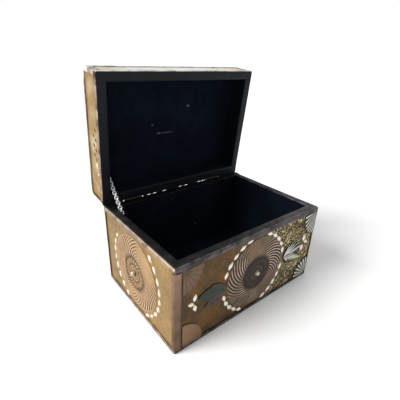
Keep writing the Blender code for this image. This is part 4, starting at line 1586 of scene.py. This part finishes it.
@dataclass
class StayChain:
    """The chain that stops the lid, with the wire eyes that it hangs from."""

    eye: float = 0.0018
    eye_wire: float = 0.0005
    shank: float = 0.0006
    box_forward: float = 0.0300
    box_down: float = 0.0160
    lid_forward: float = 0.0250
    lid_up: float = 0.0090
    link: float = 0.0042
    link_wide: float = 0.0035
    link_wire: float = 0.00055
    touch: float = 0.0001
    run: float = 0.00008

    def eye_place(self, forward: float, height: float) -> Array:
        """Return an eye's middle, with the lid shut."""
        wall = -PLAN.length / 2 + PLAN.lining_inner
        return np.array([wall + 0.0003 + self.shank + self.eye, PLAN.depth / 2 - forward, height])

    def build(self) -> None:
        """Build the eyes and the chain."""
        box_eye = self.eye_place(self.box_forward, PLAN.body_height - self.box_down)
        shut_eye = self.eye_place(self.lid_forward, PLAN.lid_rim + self.lid_up)
        lid_eye = Hang.opened(shut_eye[None])[0]
        pull = unit(lid_eye - box_eye)
        c, s = math.cos(-Hang.turn), math.sin(-Hang.turn)
        shut_pull = -np.array([pull[0], c * pull[1] - s * pull[2], s * pull[1] + c * pull[2]])
        self.wire_eye("box", box_eye, pull)
        self.wire_eye("lid", shut_eye, shut_pull)
        self.chain(box_eye, lid_eye, pull)

    def wire_eye(self, body: str, centre: Array, pull: Array) -> None:
        """Build an eye on its shank.

        Args:
            body: the body that it is fixed to.
            centre: the eye's middle.
            pull: the chain's direction from it.
        """
        sideways = np.array([1.0, 0.0, 0.0])
        normal = unit(np.cross(sideways, pull))
        turns = circle(24)[:, None]
        points = centre + (sideways * np.cos(turns) + pull * np.sin(turns)) * self.eye
        shell = Shell()
        Wire(self.eye_wire).loop(shell, points, normal)
        start = centre - sideways * (self.shank + self.eye)
        Wire(self.eye_wire * 1.05).rod(shell, start, centre - sideways * (self.eye - self.eye_wire / 3))
        shell.make(f"{body}_chain_eye", Finishes.WIRE, body, 50.0)

    def chain(self, start: Array, end: Array, direction: Array) -> None:
        """Build the links from one eye to the other, each turned a quarter from the last.

        Args:
            start: the box's eye.
            end: the lid's eye.
            direction: from the first to the second.
        """
        hook = self.eye - self.eye_wire - self.link_wire - self.run
        first = start + direction * hook
        length = float(np.linalg.norm(end - start)) - 2 * hook
        lap = 2 * self.link_wire - self.touch
        count = max(3, math.ceil((length - lap) / (self.link - lap)))
        count += 1 - count % 2
        link = (length + (count - 1) * lap) / count
        sideways = np.array([1.0, 0.0, 0.0])
        crosswise = unit(np.cross(sideways, direction))
        turns = circle(22)[:, None]
        c, s = np.cos(turns), np.sin(turns)
        along = link / 2 * np.sign(c) * np.abs(c) ** 0.75 * direction
        beside = self.link_wide / 2 * np.sign(s) * np.abs(s) ** 0.62
        shell = Shell()
        for i in range(count):
            middle = first + direction * (link / 2 + i * (link - lap))
            spread, normal = (crosswise, sideways) if i % 2 == 0 else (sideways, crosswise)
            Wire(self.link_wire, 8).loop(shell, middle + along + beside * spread, normal)
        made = shell.make("stay_chain_links", Finishes.WIRE, "", 60.0, ["stay_chain"])
        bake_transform(made)


# Sub-assemblies


@dataclass
class FrontOrnament:
    """Everything laid on the front: medallion, ovals, leaves and corner fans."""

    across: float = 0.0012
    above: float = 0.0465
    ring: float = 0.0436
    starts: tuple[float, ...] = (15.2, 160.5, 196.5, -14.0)
    paces: tuple[float, ...] = (13.1, -13.5, 12.0, -12.8)

    def ring_places(self, across: float, above: float) -> list[tuple[float, float, float]]:
        """Return the places and directions of a long face's ring of ovals, five to a quarter."""
        places = []
        for start, pace in zip(self.starts, self.paces):
            for turned in np.radians(start + pace * np.arange(5)):
                a = across + self.ring * math.cos(turned)
                places.append((a, above + self.ring * math.sin(turned), turned + math.pi / 2))
        return places

    def sprigs(self) -> list[tuple[float, float, float]]:
        """Return the places and directions of the buds' ovals."""
        left = [(-0.0771, 0.0538, -100.0), (-0.0813, 0.0481, -25.0), (-0.0769, 0.0419, -75.0)]
        right = [(0.0825, 0.0581, 100.0), (0.0875, 0.0517, -20.0), (0.0815, 0.0456, 80.0)]
        return [(a, b, math.radians(turn)) for a, b, turn in left + right]

    def tone(self, a: Array, b: Array) -> Array:
        """Return the front's tone, brown on the left and olive on the right."""
        return np.clip(0.5 + a / 0.16, 0.0, 1.0)

    def crisp(self, a: Array, b: Array) -> Array:
        """Return how crisp the ground is: rubbed soft on the left, sharp on the right."""
        return 0.12 + 0.88 * smooth_step(a, -0.05, 0.03)

    def build(self) -> None:
        """Build the front's sheet and ornament."""
        flats = [
            RoundPlace(self.across, self.above, band=0.0045, groove=0.1),
            RoundPlace(-0.0575, 0.0490, 0.0180, 0.0125, 0.0, 0.1),
            RoundPlace(0.0610, 0.0470, 0.0140, 0.0120, 0.0, 0.7),
        ]
        corners = ((-1, 0.0035, 0.0), (-1, 0.0895, 0.0), (1, 0.0035, 0.9), (1, 0.0895, 0.9))
        flats += [RoundPlace(x * 0.098, z, 0.0250, 0.0240, 0.0, groove) for x, z, groove in corners]
        EmbossedSheet(
            "front", 21, Finishes.FRONT_BRASS, flats=flats, pitch=0.0053, tone=self.tone, crisp=self.crisp
        ).build()
        Medallion("box_front", "front", self.across, self.above, finish=Finishes.COPPER, shade=0.5).build()
        ovals = self.ring_places(self.across - 0.0004, self.above - 0.0005) + self.sprigs()
        OvalSet("box_front_ovals", "front", ovals).build()
        left = [
            Blade(8.0, 0.0340, 0.0180, 2, 0.0, 0.0001, 0.8),
            Blade(-20.0, 0.0280, 0.0090, 1, 0.35),
            Blade(32.0, 0.0230, 0.0080, 1, 0.2),
        ]
        right = [
            Blade(60.0, 0.0170, 0.0024, 1, 0.0, 0.0001),
            Blade(47.0, 0.0215, 0.0026, 1, 0.0, 0.0001),
            Blade(35.0, 0.0250, 0.0028, 1, 0.0, 0.0001),
            Blade(23.0, 0.0280, 0.0028, 1, 0.0, 0.0001),
            Blade(8.0, 0.0345, 0.0076, 1, 0.35, 0.0001),
            Blade(-4.0, 0.0190, 0.0050, 1, 0.6, 0.0006),
            Blade(-48.0, 0.0120, 0.0032, 1, 0.0, 0.0002),
            Blade(-21.0, 0.0380, 0.0140, 1, 1.0),
        ]
        stained = Finishes.STAINED_METAL
        Leaf("front_leaf_left", "front", -0.0400, 0.0470, -1.0, left, finish=stained, faded=0.7).build()
        Leaf("front_leaf_right", "front", 0.0467, 0.0465, 1.0, right).build()
        silver = Finishes.LEAF_METAL
        left_edge = -(PLAN.length / 2 - WIDE_LEG - PLAN.gap)
        right_edge = PLAN.length / 2 - NARROW_LEG - PLAN.gap
        low, high = 0.0038, 0.0892
        fans = {
            "lower_left": (left_edge, low, 45, 0.0235, 0.0250, 0, stained, 1.0, 0.8),
            "upper_left": (left_edge, high, 315, 0.0225, 0.0260, 6, stained, 0.75, 0.75),
            "lower_right": (right_edge, low, 135, 0.0240, 0.0240, 7, silver, 0.0),
            "upper_right": (right_edge, high, 225, 0.0210, 0.0290, 7, silver, 0.1),
        }
        for place, values in fans.items():
            QuarterFan(f"front_fan_{place}", *values).build()


@dataclass
class EndOrnament:
    """A short side's sheet, medallion and ring of ovals."""

    side: str
    flutes: int
    across: float
    above: float = 0.0475
    ring: float = 0.0450
    count: int = 26

    def crisp(self, a: Array, b: Array) -> Array:
        """Return how crisp the ground is: rubbed nearly smooth, but for a few patches."""
        return 0.15 + 0.45 * smooth_step(Unevenness(77, 0.060).on(a, b), 0.1, 1.2)

    def build(self) -> None:
        """Build the side."""
        flats = [RoundPlace(self.across, self.above, band=0.0062, groove=0.05)]
        EmbossedSheet(
            self.side, 31 if self.side == "left" else 37, Finishes.SIDE_BRASS, "box", 0.0006,
            PLAN.short_half, flats=flats, height=0.0003, crisp=self.crisp,
        ).build()
        middle = (self.across, self.above)
        Medallion(
            f"box_{self.side}", self.side, *middle, self.flutes, shade=1.0, soft=0.5, worn_at=0.85
        ).build()
        places = []
        for i in range(self.count):
            turned = 2 * math.pi * (i + 0.5) / self.count
            b = self.above + self.ring * math.sin(turned)
            if not math.radians(52.0) < turned < math.radians(140.0) and b > 0.0058:
                places.append((self.across + self.ring * math.cos(turned), b, turned + math.pi / 2))
        OvalSet(f"box_{self.side}_ovals", self.side, places, tone=0.9).build()


@dataclass
class BackSide:
    """The plain back: a lightly worked sheet with one medallion."""

    across: float = -0.0012
    above: float = 0.0465

    def build(self) -> None:
        """Build the back."""
        flats = [RoundPlace(self.across, self.above, band=0.0008)]
        EmbossedSheet(
            "back", 41, Finishes.SIDE_BRASS, step=0.0007, flats=flats, pitch=0.0048, crisp=HALF_RUBBED
        ).build()
        Medallion("box_back", "back", self.across, self.above, 24, shade=0.7).build()


@dataclass
class BodyStrips:
    """The strips over the body's edges."""

    base_low: float = 0.0005
    roll: float = 0.0007

    def rim_light_and_shade_tone(self, rows: Array, flange: Array) -> Array:
        """Work out the rim's tone, with painted light and shade: black behind as painted shade under the
        open lid, greyer toward the right front as a painted reflection, and the copper flange painted light
        on the left, where the light falls, and dark elsewhere, partly oxide and partly painted shade.

        Args:
            rows: the rim's points.
            flange: 1 for the points of its flange, 0 for its plate.

        Returns:
            The tones.
        """
        x, y = rows[..., 0], rows[..., 1]
        # Painted reflection: the plate greyer toward the right front.
        plate = 0.26 + 0.32 * smooth_step(x, -0.02, 0.08) * (1 - smooth_step(y, -0.06, 0.03))
        # Painted shade: the plate black along the back, under the open lid.
        plate *= 1 - smooth_step(y, 0.045, 0.060)
        # Painted light: the flange light copper on the left face, where the light falls.
        left = 1 - smooth_step(x, -0.0990, -0.0975)
        return np.maximum(between(plate, 0.55, flange), left)

    def base_tone(self, rows: Array, flange: Array) -> Array:
        """Return the base strip's tone: dark, and copper on the left."""
        left = 1 - smooth_step(rows[..., 0], -0.0995, -0.0985)
        return 0.15 + 0.75 * left

    def back_roll(self, rows: Array) -> Array:
        """Return how far the rim's back edge is rolled outward."""
        near = smooth_step(rows[..., 2], PLAN.body_height - 0.0030, PLAN.body_height - 0.0012)
        return self.roll * behind(rows, near)

    def build(self) -> None:
        """Build the strips."""
        low, high = self.base_low, PLAN.field_low
        trim = PLAN.trim
        base = [(0.0002, low), (0.0, low + 0.0003), (0.0, high - 0.0006), (0.0002, high - 0.0002)]
        base += [(0.0005, high), (trim, high), (trim, low)]
        RoundStrip(
            "box_base_trim", base, Finishes.DARK_RIM, seed=13, bright=(2, 3), shade=self.base_tone
        ).build()
        shape = (PLAN.body_height, -1, PLAN.lining_inner, PLAN.rim_flange)
        RoundStrip(
            "box_rim_trim", angle_profile(*shape, PLAN.rim_radius), Finishes.DARK_RIM, seed=17,
            bright=(6, 7, 8), shade=self.rim_light_and_shade_tone, back_profile=angle_profile(*shape, PLAN.back_radius),
            roll=self.back_roll,
        ).build()
        legs = {
            ("front", "left"): (WIDE_LEG, 0.0040),
            ("front", "right"): (NARROW_LEG, WIDE_LEG),
            ("back", "left"): (WIDE_LEG, NARROW_LEG),
            ("back", "right"): (WIDE_LEG, NARROW_LEG),
        }
        heights = {
            "box": (PLAN.field_low, PLAN.field_high),
            "lid": (PLAN.lid_rim + PLAN.rim_flange, PLAN.lid_top - PLAN.edge_flange),
        }
        for body, (start, end) in heights.items():
            for (y_word, x_word), reach in legs.items():
                x_side = 1 if x_word == "right" else -1
                y_side = 1 if y_word == "back" else -1
                name = f"{body}_corner_strip_{y_word}_{x_word}"
                # Painted highlight: the lid's front corner strips get a pale silver tone, as the open lid's
                # front faces up toward the light.
                pale = body == "lid" and y_word == "front"
                ends = (start + PLAN.gap, end - PLAN.gap)
                CornerStrip(name, x_side, y_side, *reach, *ends, body, 0.75 if pale else 0.08).build()


@dataclass
class LidDress:
    """The lid's sheets, medallion, leaves and strips."""

    def front_highlight_tone(self, a: Array, b: Array) -> Array:
        """Return the lid front's tone: pale silver, painted near white in the middle as a painted highlight
        where the open lid's front faces up, and yellower toward the ends and in soft patches.
        """
        patches = Unevenness(83, 0.030).on(a, b)
        return 1.0 - 0.44 * smooth_step(np.abs(a), 0.035, 0.100) - 0.08 * patches

    def plain_tone(self, a: Array, b: Array) -> Array:
        """Return a brass tone in soft patches."""
        return 0.05 + 0.10 * Unevenness(89, 0.022).on(a, b)

    def edge_highlight_tone(self, rows: Array, flange: Array) -> Array:
        """Return the top strip's tone: copper, and silver on the front as a painted highlight where the open
        lid's front faces up.
        """
        return 0.62 + 0.38 * (1 - smooth_step(rows[..., 1], -0.0590, -0.0540))

    def rim_light_and_shade_tone(self, rows: Array, flange: Array) -> Array:
        """Return the rim's tone: a black plate and a copper flange, with painted light and shade: the flange
        painted black along the back as shade, and silver on the front as a painted highlight where the open
        lid's front faces up.
        """
        # Painted highlight: the flange silver on the front, where the open lid's front faces up.
        side = 0.68 + 0.32 * (1 - smooth_step(rows[..., 1], -0.0678, -0.0668))
        # Painted shade: the flange black along the back.
        flange = flange * (1 - smooth_step(rows[..., 1], 0.0640, 0.0670))
        return between(0.1, side, flange)

    def back_roll(self, rows: Array) -> Array:
        """Work out how far the rim's back edge is rolled outward between the hinges.

        Args:
            rows: the rim's points.

        Returns:
            The distances back.
        """
        x = rows[..., 0]
        near = 1 - smooth_step(rows[..., 2], PLAN.lid_rim + 0.0012, PLAN.lid_rim + 0.0032)
        amount = np.full(x.shape, 0.0021)
        for middle in (-0.0720, -0.0430, -0.0350, -0.0215, 0.0025, 0.0115, 0.0330, 0.0390):
            amount -= 0.0007 * (1 - smooth_step(np.abs(x - middle), 0.0008, 0.0030))
        return amount * behind(rows, near)

    def slots(self) -> list[tuple[float, float]]:
        """Return the middles of the left side's punched slots."""
        places = []
        for height, count, start in ((0.0115, 4, 0.0110), (0.0166, 3, 0.0046)):
            for i in range(count):
                places.append((start - i * 0.0105, PLAN.lid_rim + height))
        return places

    def build(self) -> None:
        """Build the lid."""
        low = PLAN.lid_rim + PLAN.lid_rim_radius + PLAN.gap
        high = PLAN.lid_top - PLAN.edge_radius
        sides = (
            ("front", PLAN.long_half, 51, 0.0007, self.front_highlight_tone, HALF_RUBBED),
            ("back", PLAN.long_half, 53, 0.0010, self.plain_tone, HALF_RUBBED),
            ("left", PLAN.short_half, 57, 0.00045, self.plain_tone, WORN),
            ("right", PLAN.short_half, 59, 0.0008, self.plain_tone, WORN),
        )
        for side, half, seed, step, tone, crisp in sides:
            EmbossedSheet(
                side, seed, Finishes.LID_BRASS, "lid", step, half, low, high,
                slots=self.slots() if side == "left" else [], tone=tone, crisp=crisp,
            ).build()
        small = [(-0.0360, PLAN.lid_rim + 0.0072, 1.3), (-0.0275, PLAN.lid_rim + 0.0108, 0.6)]
        OvalSet("lid_left_ovals", "left", small, "lid", 0.0070, 0.0034, 0.0008, 1.0).build()
        flats = [
            RoundPlace(0.0, 0.0, band=0.0045, groove=0.1),
            RoundPlace(-0.0580, 0.0, 0.0150, 0.0120),
            RoundPlace(0.0580, 0.0, 0.0150, 0.0120),
        ]
        EmbossedSheet(
            "top", 61, Finishes.SIDE_BRASS, "lid", 0.0007, 0.0960, -0.0640, 0.0640,
            flats=flats, pitch=0.0048, crisp=HALF_RUBBED,
        ).build()
        Medallion("lid", "top", 0.0, 0.0, 36, "lid", shade=0.8).build()
        OvalSet("lid_top_ovals", "top", FrontOrnament().ring_places(0.0, 0.0), "lid").build()
        for word, facing in (("left", -1.0), ("right", 1.0)):
            blades = [
                Blade(27.0, 0.0280, 0.0120, 3, 0.1, 0.0001),
                Blade(0.0, 0.0290, 0.0100, 2, 0.3, 0.0002),
                Blade(-27.0, 0.0280, 0.0120, 3, 0.1),
            ]
            Leaf(f"lid_leaf_{word}", "top", facing * 0.0455, 0.0, facing, blades, "lid").build()
        edge = angle_profile(PLAN.lid_top, -1, PLAN.edge_flange, PLAN.edge_flange, PLAN.edge_radius)
        RoundStrip(
            "lid_edge_trim", edge, Finishes.STRIP_COPPER, "lid", corner=0.0040, seed=19, lustre=0.58,
            shade=self.edge_highlight_tone,
        ).build()
        shape = (PLAN.lid_rim, 1, PLAN.lining_inner, PLAN.rim_flange)
        RoundStrip(
            "lid_rim_trim", angle_profile(*shape, PLAN.lid_rim_radius), Finishes.BLACK_RIM, "lid",
            seed=23, corner=0.0022, shade=self.rim_light_and_shade_tone,
            back_profile=angle_profile(*shape, PLAN.back_radius), roll=self.back_roll,
        ).build()


@dataclass
class Inside:
    """The linings, the carcasses and the hinge pins."""

    nodes: dict[str, bpy.types.Object]

    def build(self) -> None:
        """Build the linings and dress the solids that stay."""
        box_edge, lid_edge = PLAN.body_height - PLAN.lining_drop, PLAN.lid_rim + PLAN.lining_drop
        FeltLining("box_lining", box_edge, PLAN.box_floor, Finishes.FELT).build()
        FeltLining("lid_lining", lid_edge, PLAN.lid_ceiling, Finishes.LID_FELT, "lid", 6).build()
        kept = {
            "box_carcass": Finishes.WOOD,
            "lid_carcass": Finishes.WOOD,
            "hinge_pin_left": Finishes.PIN_WIRE,
            "hinge_pin_right": Finishes.PIN_WIRE,
        }
        for name, finish in kept.items():
            mesh = self.nodes[name].data
            mesh.materials.clear()
            mesh.materials.append(finish.material)
            LOG.info("%s: dressed", name)


# Studio


@dataclass
class Studio:
    """The camera, the lights and the pale floor."""

    lens: float = 28.0296
    place: tuple[float, float, float] = (-0.21044, -0.22994, 0.24730)
    heading: float = -39.4681
    tilt: float = 64.9346
    roll: float = 2.3295
    daylight: float = 3.7
    softness: float = 32.0
    falling: tuple[float, float, float] = (0.78, -0.246, -0.574)
    ambient: float = 0.62

    def camera(self) -> None:
        """Set the camera where the picture was taken from."""
        data = bpy.data.cameras.new("camera")
        data.sensor_width = 36.0
        data.lens = self.lens
        data.clip_start = 0.01
        made = put("camera", data)
        turn = Matrix.Rotation(math.radians(self.heading), 3, "Z")
        turn = turn @ Matrix.Rotation(math.radians(self.tilt), 3, "X")
        turn = turn @ Matrix.Rotation(math.radians(self.roll), 3, "Z")
        made.rotation_euler = turn.to_euler()
        made.location = self.place
        bpy.context.scene.camera = made

    def window(self) -> None:
        """Let in broad soft daylight from the back left."""
        data = bpy.data.lights.new("window", "SUN")
        data.energy = self.daylight
        data.angle = math.radians(self.softness)
        data.color = (1.0, 0.985, 0.955)
        made = put("window", data)
        made.rotation_euler = Vector(self.falling).to_track_quat("-Z", "Y").to_euler()

    def room(self) -> None:
        """Light the room evenly, with its walls white to the eye."""
        world = bpy.data.worlds.new("studio")
        world.use_nodes = True
        tree = world.node_tree
        lit = tree.nodes["Background"]
        lit.inputs["Color"].default_value = (0.97, 0.985, 1.0, 1.0)
        lit.inputs["Strength"].default_value = self.ambient
        seen = tree.nodes.new("ShaderNodeBackground")
        seen.inputs["Color"].default_value = (1.0, 1.0, 1.0, 1.0)
        rays = tree.nodes.new("ShaderNodeLightPath")
        choice = tree.nodes.new("ShaderNodeMixShader")
        tree.links.new(rays.outputs["Is Camera Ray"], choice.inputs[0])
        tree.links.new(lit.outputs[0], choice.inputs[1])
        tree.links.new(seen.outputs[0], choice.inputs[2])
        tree.links.new(choice.outputs[0], tree.nodes["World Output"].inputs[0])
        bpy.context.scene.world = world

    def floor(self) -> None:
        """Lay the floor."""
        mesh = bpy.data.meshes.new("studio_floor")
        half = 30.0
        corners = [(-half, -half, 0.0), (half, -half, 0.0), (half, half, 0.0), (-half, half, 0.0)]
        mesh.from_pydata(corners, [], [(0, 1, 2, 3)])
        tree = SurfaceTree("floor paper")
        mottle = tree.noise(3.0, 2.0)
        colour = tree.mix(mottle * 0.3, (0.945, 0.945, 0.945), (0.92, 0.92, 0.925))
        paper = tree.finish(Base_Color=colour, Roughness=0.9, Specular_IOR_Level=0.1)
        mesh.materials.append(paper)
        made = put("studio_floor", mesh)

    def build(self) -> None:
        """Set up the studio."""
        bpy.context.scene.view_settings.view_transform = "Standard"
        bpy.context.scene.view_settings.look = "None"
        self.camera()
        self.room()
        self.window()
        self.floor()


def corners(box: tuple[Vector, Vector]) -> list[list[float]]:
    """Turn two corners into plain lists."""
    return [list(corner) for corner in box]


def main() -> None:
    """Build the studio and the box round its frame."""
    logging.basicConfig(level=logging.INFO, format="%(message)s")
    for thing in list(bpy.data.objects):
        bpy.data.objects.remove(thing, do_unlink=True)
    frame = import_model()
    Hang.read(frame["joints"][0])
    Studio().build()
    FrontOrnament().build()
    EndOrnament("left", 40, -0.0020).build()
    EndOrnament("right", 36, 0.0020).build()
    BackSide().build()
    BodyStrips().build()
    LidDress().build()
    Inside(frame["nodes"]).build()
    for word, middle in zip(("left", "right"), HINGE_MIDDLES):
        Hinge(word, middle).build()
    StayChain().build()


if __name__ == "__main__":
    main()
